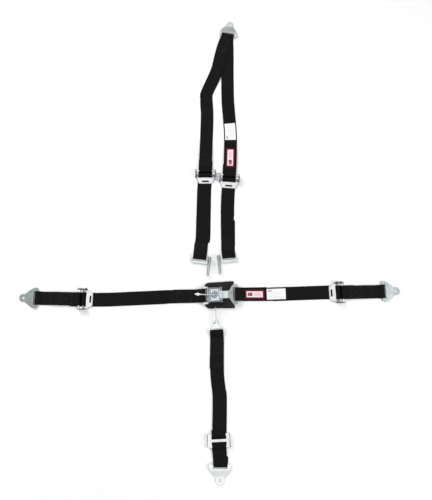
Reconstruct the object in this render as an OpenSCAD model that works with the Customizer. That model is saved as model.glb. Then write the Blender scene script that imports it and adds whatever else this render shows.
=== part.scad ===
// Five-point kart racing harness, laid out flat: a latch-and-link buckle on its pad, two lap belt halves,
// a V-shaped shoulder harness and one anti-submarine strap, all of 2 inch webbing with bolt-in ends.
// Origin: centre of the buckle pad's underside. X runs along the lap belts, Y towards the shoulder anchor.

/* [Webbing] */
// Width of the webbing
web_w = 50; // [48:0.5:51]
// Thickness of one layer of webbing
web_t = 1.6; // [1.4:0.1:1.6]

/* [Bolt-in bracket] */
// Width across the two lobes
bracket_w = 81; // [79:0.5:84]
// Distance from the webbing bar to the bolt hole
bracket_reach = 51; // [48:0.5:56]
// Radius of the eye round the bolt hole
eye_r = 15.5; // [14:0.5:17]
// Diameter of the bolt hole
bolt_d = 12; // [11:0.5:14]
// Thickness of every stamped plate
plate_t = 3; // [2.8:0.1:3]

/* [Tilt-lock adjuster] */
// Half of the adjuster's length
adj_half = 29; // [28:0.5:31]
// Height of the top of the side wings
wing_top = 18; // [17.5:0.5:22]
// Half of the width across the wing tips
wing_y = 42; // [41:0.5:44]
// Radius of the knurled bar
knurl_r = 4; // [3.6:0.1:4]

/* [Buckle] */
// Length of the pad under the buckle
pad_l = 116; // [112:1:120]
// Width of the pad under the buckle
pad_w = 105; // [100:1:112]
// Thickness of the pad
pad_t = 10; // [8:0.5:10]
// Length of the slotted finger on each shoulder end
finger_l = 80; // [74:1:84]
// Skew of the release handle on the lever
handle_skew = 5; // [0:1:8]

/* [Hidden] */
$fn = 48;

steel = [0.78, 0.80, 0.82];
zinc = [0.72, 0.76, 0.78];
black = [0.08, 0.08, 0.09];
white = [0.94, 0.94, 0.93];
red = [0.72, 0.06, 0.16];

web2 = 2 * web_t;             // two layers sewn together
under_web_w = web_w - 0.5;    // a second layer, so that it shows as one
sewn_web_w = web_w - 0.8;     // webbing drawn in by its stitching
loop_web_w = web_w - 1.4;     // webbing drawn in where it turns round a bar
loop_in = 4;                  // radius inside a webbing loop
loop_out = loop_in + web_t;   // radius outside it
bar_w = 6.6;                  // width of a flat webbing bar
slot_l = 54;                  // length of a webbing slot
slot_w = 8.7;                 // width of a webbing slot
bar_x = bar_w / 2;
slot_x = bar_x + slot_w;      // far edge of the slot from the bar's middle
far = 200;                    // longer than anything it cuts

// Places: [x, y, turn], where the turn carries local +x onto the way the webbing leaves
latch_at = [0, 0, 2.3];
adj_lap_left = [-521, -16, -1.4];
adj_lap_right = [457, 9, 181.8];
adj_shoulder_left = [-56, 484, -90];
adj_shoulder_right = [40, 465, -94];
slide_at = [-2, -541, -87];
bracket_lap_left = [-713, -11.3, -1.4];
bracket_lap_right = [639.5, 14.7, 181.8];
bracket_shoulder = [38, 1125.5, -100];
bracket_sub = [1, -629.5, 90];
fitting_left = [-77, 147, 84];
fitting_right = [36.5, 152, 95];
sub_fitting_at = [-10.5, -139, -87.5];

// Heights
latch_bar_z = pad_t + plate_t / 2;
link_z = pad_t + plate_t + 1;
link_bar_z = link_z + plate_t / 2;
frame_z = 4.2;                // underside of an adjuster's plate
frame_t = 2.5;
rear_bar_x = -24;             // the bar that the sewn webbing is looped on
rear_bar_z = 9;
rear_bar_in = 3.7;
knurl_x = -6;
knurl_z = 12;
knurl_slack = 3;              // the way the knurled bar can move in its slots
over_z = web2 + 0.3;          // webbing that slides over the two layers below it
travel_l = 100;               // the stretch of webbing that has room below it
pin_x = 8;
pin_z = pad_t + 14;
pin_r = 3;
barrel_r = 5;
lever_top = pad_t + 18;
lever_t = 2.5;
finger_lean = 45;
finger_pitch = 3.2;
sub_pitch = 8.8;

// Middle lines of the straps, seen from above
lap_left_run = [[-59, -2.4], [-110, -4], [-184, -5.5], [-317, -11.5], [-434, -16.5], [-520, -17], [-592, -15.5]];
lap_right_run = [[66, 2.7], [110, 3.6], [175, 3.6], [268, 6.2], [386, 10.5], [457, 12], [528, 13.5]];
left_v_run = [[27, 1096], [14, 1057], [3, 1010], [-7, 965], [-21, 925]];
left_bend_run = [[-16, 940], [-30, 907], [-42, 880], [-51, 860]];
left_fall_run = [[-54, 849], [-54, 825], [-50, 760], [-51, 694]];
right_v_run = [[35, 1096], [36, 1057], [35.6, 930], [36, 850], [38, 798], [42, 744], [46, 690], [47, 642]];
left_low_run = [[-56.5, 560], [-57.5, 484], [-60, 430], [-62, 350], [-63.5, 280], [-65.5, 230], [-70, 200]];
right_low_run = [[42, 540], [39, 465], [36.5, 420], [34, 340], [34, 280], [34.8, 230], [35.2, 205]];
sub_run = [[-9, -185], [-9, -278], [-6.5, -322], [-1, -367], [0.5, -392], [0, -450], [-1.5, -541], [-1.5, -578]];

// A unit vector square to the run of points p at point i
function side(p, i) = let(
    a = p[max(i - 1, 0)],
    b = p[min(i + 1, len(p) - 1)],
    d = (b - a) / norm(b - a))
  [-d[1], d[0]];

// The plan outline of webbing of width w along the points p
function ribbon(p, w) = concat(
  [for (i = [0:len(p) - 1]) p[i] + side(p, i) * w / 2],
  [for (i = [len(p) - 1:-1:0]) p[i] - side(p, i) * w / 2]);

// The folded-back tail of a run: its last stretch, ending a little short
function tail(p) = let(n = len(p) - 1)
  concat([for (i = [3:n - 1]) p[i]], [p[n] * 0.97 + p[n - 1] * 0.03]);

module at(place, z = 0) {
  translate([place[0], place[1], z]) rotate(place[2]) children();
}

// A profile drawn in x and z, made width wide across y
module across(width) {
  rotate([90, 0, 0]) linear_extrude(height = width, center = true) children();
}

module rod_y(r, length) {
  rotate([90, 0, 0]) cylinder(r = r, h = length, center = true);
}

// Flat webbing along a run of points, from height z0 to z1
module flat_web(run, z0, z1, width = web_w) {
  translate([0, 0, z0]) linear_extrude(height = z1 - z0) polygon(ribbon(run, width));
}

// Webbing looped round a bar at the local origin: points is its outline from the top of the loop round to the bottom
module looped_web(points, r_in, r_out, width) {
  difference() {
    union() {
      across(width) polygon(points);
      rod_y(r_out, width);
    }
    rod_y(r_in, web_w + 2);
  }
}

// Webbing that falls from a bar at height bar_z to the floor, layers thick at length run
module falling_web(bar_z, run, length, layers) {
  low = 0.05 - bar_z;
  top = layers * web_t - 0.05 - bar_z;
  looped_web([[0, loop_out], [run, top], [length, top], [length, low], [run * 0.6, low], [0, -loop_out + 0.06]],
    loop_in, loop_out, loop_web_w);
}

// ---- Bolt-in brackets and the other plates with a webbing bar ----

// Half of the flared outline from the eye or neck at half-width y0 out to the lobes
function flare(x0, y0, x1, y1, steps) = [for (i = [0:steps]) let(s = i / steps)
  [x0 + (x1 - x0) * s, y0 + (y1 - y0) * s * s * (3 - 2 * s)]];

function mirrored(p) = concat(p, [for (i = [len(p) - 1:-1:0]) [p[i][0], -p[i][1]]]);

// Outline of the bar end: flanks that spread to the two lobes
module bar_end_plan(x0, y0, width, lobe = 7.5) {
  union() {
    polygon(mirrored(concat(flare(x0, y0, -9, width / 2 - 1.4, 10), [[bar_x, width / 2 - lobe]])));
    for (s = [-1, 1]) translate([-1, s * (width / 2 - lobe)]) circle(r = lobe);
  }
}

module webbing_slot() {
  r = 2;
  for (s = [-1, 1]) translate([-slot_x, s < 0 ? -slot_l / 2 : slot_l / 2 - 2 * r, -far / 2])
    translate([r, r, 0]) cylinder(r = r, h = far);
  translate([-slot_x, -slot_l / 2 + r, -far / 2]) cube([slot_w, slot_l - 2 * r, far]);
  translate([-slot_x + r, -slot_l / 2, -far / 2]) cube([slot_w - r, slot_l, far]);
}

module bolt_bracket() {
  h = plate_t / 2;
  low = -loop_out;
  color(zinc) difference() {
    intersection() {
      union() {
        translate([0, 0, -far / 2]) linear_extrude(height = far)
          bar_end_plan(-bracket_reach + 2, eye_r - 0.6, bracket_w);
        translate([-bracket_reach, 0, -far / 2]) cylinder(r = eye_r, h = far);
      }
      across(far) polygon([[far, h], [-19, h], [-32, low + plate_t], [-far, low + plate_t],
        [-far, low], [-33.5, low], [-20.5, -h], [far, -h]]);
    }
    webbing_slot();
    translate([-bracket_reach, 0, -far / 2]) cylinder(d = bolt_d, h = far);
  }
}

// ---- Tilt-lock adjuster: local +x points along the webbing that feeds through it ----

module adjuster_frame() {
  front = 14;
  lip_slot = [6, 28];
  slot_x0 = knurl_x - knurl_r - knurl_slack - 0.4;
  slot_x1 = knurl_x + knurl_r + 0.4;
  slot_h = 2 * knurl_r + 0.6;
  color(steel) difference() {
    union() {
      translate([3, -36, frame_z]) cube([front - 3, 72, frame_t]);
      translate([0, 0, frame_z]) linear_extrude(height = frame_t)
        polygon([[front - 1, -31], [adj_half - 4, -28], [adj_half, -23], [adj_half, 23], [adj_half - 4, 28],
          [front - 1, 31]]);
      translate([rear_bar_x - 3, -37, rear_bar_z - 1.5]) cube([6, 74, 3]);
      for (s = [-1, 1]) mirror([0, s < 0 ? 1 : 0, 0]) {
        translate([-adj_half, 29, frame_z]) cube([front + adj_half, 6, frame_t]);
        translate([-adj_half, 0, 0]) rotate([90, 0, 90]) linear_extrude(height = adj_half + 8)
          polygon([[34, frame_z], [36.5, frame_z], [wing_y, wing_top], [wing_y - 2.5, wing_top]]);
      }
    }
    translate([slot_x0, -far / 2, knurl_z - slot_h / 2]) cube([slot_x1 - slot_x0, far, slot_h]);
    translate([front + 2.5, -lip_slot[1] / 2, -1]) cube([lip_slot[0], lip_slot[1], 20]);
  }
}

module adjuster_bar() {
  color(steel) translate([knurl_x, 0, knurl_z]) rod_y(knurl_r, 2 * wing_y - 1);
}

// The webbing's turn over the knurled bar
module bar_wrap() {
  r = knurl_r + 0.05;
  color(black) translate([knurl_x, 0, knurl_z]) difference() {
    union() {
      rod_y(r + web_t, web_w);
      translate([-r - web_t, -web_w / 2, over_z + 0.1 - knurl_z]) cube([2 * (r + web_t), web_w, knurl_z - over_z]);
    }
    rod_y(r, web_w + 2);
    translate([-r, -far / 2, -knurl_z]) cube([2 * r, far, knurl_z]);
  }
}

// Sewn webbing that leaves an adjuster's rear bar, over the stretch that slides below it.
// The bar is the local origin, +x leads away from the adjuster, and layers is its thickness at the far end.
module anchor_web(length, layers) {
  z0 = over_z - rear_bar_z;
  low = 0.03 - rear_bar_z;
  sewn = layers == 2 ? travel_l : 78;
  end_t = layers * web_t - 0.06;
  r_out = rear_bar_in + web_t;
  looped_web([[0, r_out], [34, z0 + web2], [sewn, z0 + web2], [sewn, z0 + end_t], [travel_l, z0 + end_t],
    [travel_l + 28, low + end_t], [length, low + end_t], [length, low], [travel_l + 28, low], [travel_l, z0],
    [0, z0]], rear_bar_in, r_out, sewn_web_w);
}

// ---- Buckle ----

module buckle_pad() {
  c = 15;
  x = pad_l / 2;
  y = pad_w / 2;
  color(black) at(latch_at) linear_extrude(height = pad_t)
    polygon([[x, -y], [x, y], [c - x, y], [4 - x, y - 6], [-x, y - c],
      [-x, 28], [7.5 - x, 28], [7.5 - x, -28], [-x, -28], [-x, c - y], [4 - x, 6 - y], [c - x, -y]]);
}

module latch_base() {
  cheek = 2.5;
  color(zinc) at(latch_at, latch_bar_z) union() {
    difference() {
      translate([-59, 0, -plate_t / 2]) rotate(180) linear_extrude(height = plate_t) {
        bar_end_plan(-26, 28, 78);
        translate([-63, -28]) square([46, 56]);
      }
      translate([-59, 0, 0]) rotate(180) webbing_slot();
    }
    for (s = [-1, 1]) translate([0, s * (28 - cheek / 2), plate_t / 2 - 0.01]) difference() {
      across(cheek) polygon([[-46, 0], [14, 0], [14, 11], [11, 16.5], [-30, 16.5], [-46, 12]]);
      translate([pin_x, 0, pin_z - pad_t - plate_t]) rod_y(pin_r + 0.05, cheek + 1);
      translate([-42, 0, 8]) rod_y(2, cheek + 1);
    }
  }
}

module latch_rivets() {
  color(steel) at(latch_at, pad_t + plate_t) for (x = [-36, -26], s = [-1, 1]) translate([x, s * 19, 0]) {
    cylinder(r = 3.2, h = 1.4);
  }
}

module catch_pin() {
  color(steel) at(latch_at) translate([-42, 0, pad_t + plate_t + 8]) rod_y(1.98, 58);
}

module hinge_pin() {
  color(steel) at(latch_at) translate([pin_x, 0, pin_z]) {
    rod_y(pin_r, 57);
    for (s = [-1, 1]) translate([0, s * 29, 0]) rod_y(pin_r + 1.6, 2);
  }
}

module lever_springs() {
  wire = 0.8;
  color(steel) at(latch_at) for (s = [-1, 1], i = [0:4])
    translate([pin_x, s * (16.5 + 2 * wire * i), pin_z]) rotate([90, 0, 0])
      rotate_extrude() translate([pin_r + 0.1 + wire, 0]) circle(r = wire, $fn = 24);
}

module latch_lever() {
  z0 = lever_top - lever_t;
  color(steel) at(latch_at) difference() {
    union() {
      across(49) polygon([[pin_x - 6, z0], [pin_x - 6, lever_top], [-33, lever_top], [-37, lever_top - 3],
        [-37, lever_top - 9], [-34.5, lever_top - 9], [-34.5, z0 - 1.2], [-33.2, z0]]);
      translate([pin_x, 0, pin_z]) rod_y(barrel_r, 30);
      translate([pin_x - 7, -15, z0]) cube([8, 30, lever_t]);
      translate([-13, -6, link_z]) cube([3, 12, z0 - link_z + 1]);
    }
    translate([pin_x, 0, pin_z]) rod_y(pin_r + 0.05, 60);
  }
}

module lever_handle() {
  r = 3;
  color(steel) at(latch_at) translate([-18, -2.2, lever_top]) rotate(-handle_skew) union() {
    translate([-63, 0, r + 0.4]) rotate([0, 90, 0]) cylinder(r = r, h = 61);
    translate([-6, 0, 0]) cylinder(r = 4.5, h = 4);
    translate([0, 0, r - 1.5]) linear_extrude(height = 3)
      polygon([[-59, -3], [-62, -6], [-65, -6], [-78, -1.5], [-78, 1.5], [-65, 6], [-62, 6], [-59, 3]]);
  }
}

module link_plate() {
  neck = 13.5;
  color(zinc) at(latch_at, link_z) difference() {
    union() {
      translate([66, 0, 0]) linear_extrude(height = plate_t) bar_end_plan(-31, neck, 78);
      translate([-21, -neck, 0]) cube([58, 2 * neck, plate_t]);
    }
    translate([66, 0, 0]) webbing_slot();
    translate([-16.5, -7.5, -1]) cube([8, 15, 10]);
  }
}

// ---- Lap belt ----

module lap_left_inner_strap() {
  color(black) {
    at([-59, -2.4, 181.8], latch_bar_z) falling_web(latch_bar_z, 40, 117, 2);
    flat_web([for (i = [1:6]) lap_left_run[i]], 0, web_t);
    flat_web(tail(lap_left_run), web_t - 0.5, web2, under_web_w);
  }
}

module lap_right_inner_strap() {
  color(black) {
    at([65.95, 2.65, 1.8], link_bar_z) falling_web(link_bar_z, 34, 117, 2);
    flat_web([for (i = [1:6]) lap_right_run[i]], 0, web_t);
    flat_web(tail(lap_right_run), web_t - 0.5, web2, under_web_w);
  }
}

// Short doubled strap between a lap adjuster and its bracket
module lap_outer_strap(adjuster, bracket, length) {
  color(black) difference() {
    union() {
      at(adjuster) translate([rear_bar_x, 0, rear_bar_z]) rotate(180) anchor_web(length - 30, 2);
      at(bracket, loop_out) falling_web(loop_out, 30, 45, 2);
    }
    at(bracket, loop_out) rod_y(loop_in, web_w + 2);
  }
}

module lap_left_outer_strap() { lap_outer_strap(adj_lap_left, bracket_lap_left, 168); }
module lap_right_outer_strap() { lap_outer_strap(adj_lap_right, bracket_lap_right, 158.6); }

// A label sewn on the webbing: middle at [x, y, turn], size along and across it
module label(place, z, size, thick) {
  at(place, z) translate([-size[0] / 2, -size[1] / 2, 0]) cube([size[0], size[1], thick]);
}

// ---- Shoulder harness ----

// From the bracket, over the right-hand strap and down to the bend
module shoulder_left_top_strap() {
  color(black) {
    at(bracket_shoulder) across(loop_web_w)
      polygon([[12, 7.6], [30, web_t + 0.1], [44, web_t + 0.1], [44, web2 + 0.1], [30.5, web2 + 0.1], [12, 9.2]]);
    flat_web(left_v_run, web_t + 0.1, web2 + 0.1);
    flat_web([[-14, 945], [-20.5, 926]], 0.4, web2 - 0.4, loop_web_w);
    flat_web(left_bend_run, 0, web_t);
  }
}

module shoulder_left_upper_strap() {
  color(black) flat_web(left_fall_run, 0, web_t);
}

module shoulder_left_sewn_end() {
  color(black) at(adj_shoulder_left) translate([rear_bar_x, 0, rear_bar_z]) rotate(180) anchor_web(184, 1);
}

module shoulder_right_upper_strap() {
  color(black) {
    at(bracket_shoulder, loop_out) falling_web(loop_out, 30, 40, 1);
    flat_web(right_v_run, 0, web_t);
  }
}

module shoulder_right_sewn_end() {
  color(black) at(adj_shoulder_right) translate([rear_bar_x, 0, rear_bar_z]) rotate(180) anchor_web(150, 2);
}

// Follows the doubled webbing behind the adjuster, down to the floor
module shoulder_red_label() {
  top = over_z + web2;
  color(red) at(adj_shoulder_right) translate([rear_bar_x, 0, 0]) rotate(180) across(33)
    polygon([[37, top], [travel_l, top], [travel_l + 18, top - 2.25], [travel_l + 18, top - 1.7],
      [travel_l, top + 0.5], [37, top + 0.5]]);
}

// Doubled lower strap from an end fitting up through its adjuster
module lower_strap(fitting, run) {
  color(black) {
    at(fitting, loop_out) falling_web(loop_out, 30, 64, 2);
    flat_web(run, 0, web2);
  }
}

module shoulder_left_lower_strap() { lower_strap(fitting_left, left_low_run); }
module shoulder_right_lower_strap() { lower_strap(fitting_right, right_low_run); }

// Shoulder end: a webbing bar whose inner end is folded up into a slotted finger. s is the side that the finger is on.
module end_fitting(s) {
  w = 66;
  front = slot_x + 10;
  h = plate_t / 2;
  inner = s * (w / 2 - 1.5);
  top = 9.5;
  tip = 5;
  x0 = 9;
  x1 = x0 - finger_l;
  color(steel) rotate([0, -finger_pitch, 0]) difference() {
    union() {
      translate([-front, -w / 2, -h]) cube([front + bar_x, w, plate_t]);
      translate([0, inner, 0]) rotate([s * finger_lean, 0, 0]) translate([0, s * (top - 1.5), -h])
        linear_extrude(height = plate_t) {
          polygon([[x0 - 4, -top], [x0, 4 - top], [x0, top - 4], [x0 - 4, top], [x1 + tip, tip], [x1 + tip, -tip]]);
          translate([x1 + tip, 0]) circle(r = tip);
        }
    }
    webbing_slot();
    translate([0, inner, 0]) rotate([s * finger_lean, 0, 0]) translate([0, s * (top - 1.5), -5])
      linear_extrude(height = 10) {
        translate([x1 + 12, -2.6]) square([50, 5.2]);
        translate([x1 + 12, 0]) circle(r = 2.6);
        translate([x1 + 62, 0]) circle(r = 2.6);
      }
  }
}

// ---- Anti-submarine strap ----

// T-shaped end with a neck that turns on edge into a slotted finger
module sub_end_fitting() {
  h = plate_t / 2;
  tall = 16;
  color(steel) at(sub_fitting_at, loop_out) rotate([0, sub_pitch, 0]) difference() {
    union() {
      translate([0, 0, -h]) linear_extrude(height = plate_t) bar_end_plan(-24, 7, 66, 4);
      hull() {
        translate([-25, -7, -h]) cube([2, 14, plate_t]);
        translate([-44, -h, -tall / 2]) cube([2, plate_t, tall]);
      }
      across(plate_t) polygon([[-42, -tall / 2], [-90, -tall / 2], [-94, -tall / 2 + 4], [-94, tall / 2 - 4],
        [-90, tall / 2], [-42, tall / 2]]);
    }
    webbing_slot();
    across(20) {
      translate([-88, -2.6]) square([40, 5.2]);
      translate([-88, 0]) circle(r = 2.6);
      translate([-48, 0]) circle(r = 2.6);
    }
  }
}

module sub_upper_strap() {
  color(black) {
    at(sub_fitting_at, loop_out) falling_web(loop_out, 30, 135, 2);
    flat_web(sub_run, 0, web_t);
    flat_web(tail(sub_run), web_t - 0.5, web2, under_web_w);
  }
}

// Three-bar slide: flat frame with raised side rims
module sub_slide() {
  half = 25;
  color(steel) at(slide_at) {
    difference() {
      translate([-half, -wing_y, frame_z]) cube([2 * half, 2 * wing_y, frame_t]);
      for (x = [-17, 5]) translate([x, -27, 0]) cube([12, 54, 20]);
    }
    for (s = [-1, 1]) translate([-half, s > 0 ? wing_y - 2 : -wing_y, frame_z]) cube([2 * half, 2, 8]);
  }
}

module sub_lower_strap() {
  a = over_z;
  b = frame_z + frame_t + 0.3;
  t = web_t;
  color(black) difference() {
    union() {
      at(slide_at) across(web_w) polygon([[-40, a], [-30, a], [-26, b], [-16.5, b], [-9, a], [9, a], [16.5, b],
        [26, b], [31, a], [55, a], [72, 0], [75, 0], [75, web2], [66, web2 + 1], [55, a + t], [33, a + t],
        [28, b + t], [16.5, b + t], [16, b + t - 1], [7, a + 0.6], [-7, a + 0.6], [-16, b + t - 1], [-16.5, b + t],
        [-28, b + t], [-32, a + t], [-40, a + t]]);
      at(bracket_sub, loop_out) falling_web(loop_out, 22, 30, 2);
    }
    at(bracket_sub, loop_out) rod_y(loop_in, web_w + 2);
  }
}

buckle_pad();
latch_base();
latch_rivets();
catch_pin();
hinge_pin();
lever_springs();
latch_lever();
lever_handle();
link_plate();
lap_left_inner_strap();
lap_left_outer_strap();
at(adj_lap_left) adjuster_frame();  // lap_left_adjuster_frame
at(adj_lap_left) adjuster_bar();  // lap_left_adjuster_bar
at(adj_lap_left) bar_wrap();  // lap_left_bar_wrap
at(bracket_lap_left, loop_out) bolt_bracket();  // lap_left_bracket
lap_right_inner_strap();
lap_right_outer_strap();
at(adj_lap_right) adjuster_frame();  // lap_right_adjuster_frame
at(adj_lap_right) adjuster_bar();  // lap_right_adjuster_bar
at(adj_lap_right) bar_wrap();  // lap_right_bar_wrap
at(bracket_lap_right, loop_out) bolt_bracket();  // lap_right_bracket
color(red) label([138, 3.6, 0.5], web2, [74, 33], 0.5);  // lap_red_label
color(white) label([222, 5, 1.2], web_t, [74, 42], 0.3);  // lap_white_label
at(bracket_shoulder, loop_out) bolt_bracket();  // shoulder_bracket
shoulder_left_top_strap();
shoulder_left_upper_strap();
shoulder_left_sewn_end();
shoulder_right_upper_strap();
shoulder_right_sewn_end();
at(adj_shoulder_left) adjuster_frame();  // shoulder_left_adjuster_frame
at(adj_shoulder_left) adjuster_bar();  // shoulder_left_adjuster_bar
at(adj_shoulder_left) bar_wrap();  // shoulder_left_bar_wrap
shoulder_left_lower_strap();
at(fitting_left, loop_out) end_fitting(-1);  // shoulder_left_end_fitting
at(adj_shoulder_right) adjuster_frame();  // shoulder_right_adjuster_frame
at(adj_shoulder_right) adjuster_bar();  // shoulder_right_adjuster_bar
at(adj_shoulder_right) bar_wrap();  // shoulder_right_bar_wrap
shoulder_right_lower_strap();
at(fitting_right, loop_out) end_fitting(1);  // shoulder_right_end_fitting
shoulder_red_label();
color(white) label([46, 681, 90], web_t, [76, 44], 0.3);  // shoulder_white_label
sub_end_fitting();
sub_upper_strap();
sub_slide();
sub_lower_strap();
at(bracket_sub, loop_out) bolt_bracket();  // sub_bracket
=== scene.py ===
import math
import random

import bmesh
import bpy
from mathutils import Matrix, Vector, noise


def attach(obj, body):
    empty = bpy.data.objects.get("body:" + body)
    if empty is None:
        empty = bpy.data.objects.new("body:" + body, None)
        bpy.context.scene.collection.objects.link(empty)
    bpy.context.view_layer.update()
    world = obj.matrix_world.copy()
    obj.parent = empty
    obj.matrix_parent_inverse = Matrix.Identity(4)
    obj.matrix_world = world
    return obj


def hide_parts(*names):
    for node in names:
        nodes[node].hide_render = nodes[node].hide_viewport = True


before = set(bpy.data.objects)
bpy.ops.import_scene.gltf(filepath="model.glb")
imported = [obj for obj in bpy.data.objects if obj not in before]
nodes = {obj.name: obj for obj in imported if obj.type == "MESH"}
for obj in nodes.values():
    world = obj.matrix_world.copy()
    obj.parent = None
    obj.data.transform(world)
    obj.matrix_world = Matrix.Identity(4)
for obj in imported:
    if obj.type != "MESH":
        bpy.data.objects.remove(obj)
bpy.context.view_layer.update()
mm = 0.001
random.seed(11)
print("harness frame loaded:", len(nodes), "nodes")

viewPoint = {"target": (-0.0129, 0.1808, 0.0), "distance": 2.282, "elevation": 78, "lens": 41.4}

tilt = math.radians(viewPoint["elevation"])
target = Vector(viewPoint["target"])
camera = bpy.data.objects.new("camera", bpy.data.cameras.new("camera"))
camera.location = target + viewPoint["distance"] * Vector((0, -math.cos(tilt), math.sin(tilt)))
camera.rotation_euler = (target - camera.location).to_track_quat("-Z", "Y").to_euler()
camera.data.lens = viewPoint["lens"]
camera.data.clip_end = 50
bpy.context.collection.objects.link(camera)
bpy.context.scene.camera = camera


def softLight(name, place, aim, size, power, colour=(1, 1, 1)):
    lamp = bpy.data.lights.new(name, "AREA")
    lamp.shape = "RECTANGLE"
    lamp.size, lamp.size_y = size
    lamp.energy = power
    lamp.color = colour
    lampObject = bpy.data.objects.new(name, lamp)
    lampObject.location = place
    lampObject.rotation_euler = (Vector(aim) - Vector(place)).to_track_quat("-Z", "Y").to_euler()
    bpy.context.collection.objects.link(lampObject)
    return lampObject


softLight("keyBox", (-2.0, 2.3, 2.0), (0, 0.2, 0), (2.6, 2.0), 84, (1.0, 0.995, 0.985))
softLight("sideBox", (2.4, -0.9, 1.6), (0, 0.1, 0), (2.0, 2.2), 56, (0.985, 0.99, 1.0))
softLight("lowStrip", (-2.4, -1.2, 1.0), (0, 0.1, 0), (0.4, 1.8), 14, (0.95, 0.97, 1.0))
bpy.context.scene.view_settings.view_transform = "Standard"


def studioSky():
    # bright overhead, a little darker towards the horizon so that rounded metal edges read
    world = bpy.data.worlds.new("studio")
    bpy.context.scene.world = world
    world.use_nodes = True
    tree = world.node_tree
    tree.nodes.clear()
    coord = tree.nodes.new("ShaderNodeTexCoord")
    split = tree.nodes.new("ShaderNodeSeparateXYZ")
    ramp = tree.nodes.new("ShaderNodeValToRGB")
    ramp.color_ramp.elements[0].position = 0.0
    ramp.color_ramp.elements[0].color = (0.55, 0.56, 0.58, 1)
    ramp.color_ramp.elements[1].position = 0.93
    ramp.color_ramp.elements[1].color = (1.0, 1.0, 1.0, 1)
    for place, grey in ((0.22, 0.16), (0.55, 0.20), (0.80, 0.34)):
        stop = ramp.color_ramp.elements.new(place)
        stop.color = (grey, grey, grey * 1.01, 1)
    back = tree.nodes.new("ShaderNodeBackground")
    back.inputs["Strength"].default_value = 1.12
    out = tree.nodes.new("ShaderNodeOutputWorld")
    tree.links.new(coord.outputs["Generated"], split.inputs[0])
    tree.links.new(split.outputs["Z"], ramp.inputs["Fac"])
    tree.links.new(ramp.outputs["Color"], back.inputs["Color"])
    tree.links.new(back.outputs[0], out.inputs["Surface"])


studioSky()
print("view and lights ready")


def newGroup(name, inputs, outputs):
    group = bpy.data.node_groups.new(name, "ShaderNodeTree")
    for label, kind, value in inputs:
        socket = group.interface.new_socket(name=label, in_out="INPUT", socket_type=kind)
        if value is not None:
            socket.default_value = value
    for label, kind in outputs:
        group.interface.new_socket(name=label, in_out="OUTPUT", socket_type=kind)
    start = group.nodes.new("NodeGroupInput")
    end = group.nodes.new("NodeGroupOutput")
    return group, start, end


def math1(tree, operation, a, b=None, c=None, clamp=False):
    node = tree.nodes.new("ShaderNodeMath")
    node.operation = operation
    node.use_clamp = clamp
    for socket, value in zip(node.inputs, (a, b, c)):
        if value is None:
            continue
        if isinstance(value, (int, float)):
            socket.default_value = value
        else:
            tree.links.new(value, socket)
    return node.outputs[0]


def mixColour(tree, factor, a, b, blend="MIX"):
    node = tree.nodes.new("ShaderNodeMix")
    node.data_type = "RGBA"
    node.blend_type = blend
    for socket, value in ((node.inputs[0], factor), (node.inputs[6], a), (node.inputs[7], b)):
        if isinstance(value, (int, float)):
            socket.default_value = value
        elif isinstance(value, tuple):
            socket.default_value = (*value, 1) if len(value) == 3 else value
        else:
            tree.links.new(value, socket)
    return node.outputs[2]


def noiseNode(tree, vector, scale, detail=3.0, rough=0.5):
    node = tree.nodes.new("ShaderNodeTexNoise")
    node.inputs["Detail"].default_value = detail
    node.inputs["Roughness"].default_value = rough
    if isinstance(scale, (int, float)):
        node.inputs["Scale"].default_value = scale
    else:
        tree.links.new(scale, node.inputs["Scale"])
    tree.links.new(vector, node.inputs["Vector"])
    return node.outputs[0]


def remap(tree, value, low, high, newLow=0.0, newHigh=1.0):
    node = tree.nodes.new("ShaderNodeMapRange")
    node.interpolation_type = "SMOOTHSTEP"
    tree.links.new(value, node.inputs[0])
    for socket, number in zip(node.inputs[1:5], (low, high, newLow, newHigh)):
        if isinstance(number, (int, float)):
            socket.default_value = number
        else:
            tree.links.new(number, socket)
    return node.outputs[0]


def buildWebbingWeave():
    # lengthwise cords woven in a herringbone: floats of thread step sideways and turn back every few cords
    group, start, end = newGroup(
        "webbingWeave",
        [("Strap Position", "NodeSocketVector", None), ("Cord Width", "NodeSocketFloat", 1.3),
         ("Float Length", "NodeSocketFloat", 2.6)],
        [("Height", "NodeSocketFloat"), ("Thread", "NodeSocketFloat"), ("Panel", "NodeSocketFloat")])
    split = group.nodes.new("ShaderNodeSeparateXYZ")
    group.links.new(start.outputs["Strap Position"], split.inputs[0])
    across = math1(group, "DIVIDE", math1(group, "MULTIPLY", split.outputs["X"], 1000),
                   start.outputs["Cord Width"])
    along = math1(group, "DIVIDE", math1(group, "MULTIPLY", split.outputs["Y"], 1000),
                  start.outputs["Float Length"])
    cord = math1(group, "FLOOR", across)
    step = math1(group, "MULTIPLY", math1(group, "PINGPONG", cord, 4), 0.25)
    cordRound = math1(group, "ABSOLUTE", math1(group, "SINE", math1(group, "MULTIPLY", across, math.pi)))
    floatRound = math1(group, "ABSOLUTE",
                       math1(group, "SINE", math1(group, "MULTIPLY", math1(group, "ADD", along, step),
                                                  math.pi)))
    shaped = math1(group, "POWER", cordRound, 0.6)
    threads = math1(group, "POWER", floatRound, 0.5)
    height = math1(group, "MULTIPLY", shaped, math1(group, "MULTIPLY_ADD", threads, 0.6, 0.4))
    # five broad panels, slightly raised, run the length of the strap
    panel = math1(group, "ABSOLUTE",
                  math1(group, "SINE", math1(group, "MULTIPLY", split.outputs["X"], math.pi / 0.0102)))
    panel = math1(group, "POWER", panel, 0.25)
    group.links.new(math1(group, "MULTIPLY_ADD", panel, 0.35, height), end.inputs["Height"])
    group.links.new(height, end.inputs["Thread"])
    group.links.new(panel, end.inputs["Panel"])
    return group


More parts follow.
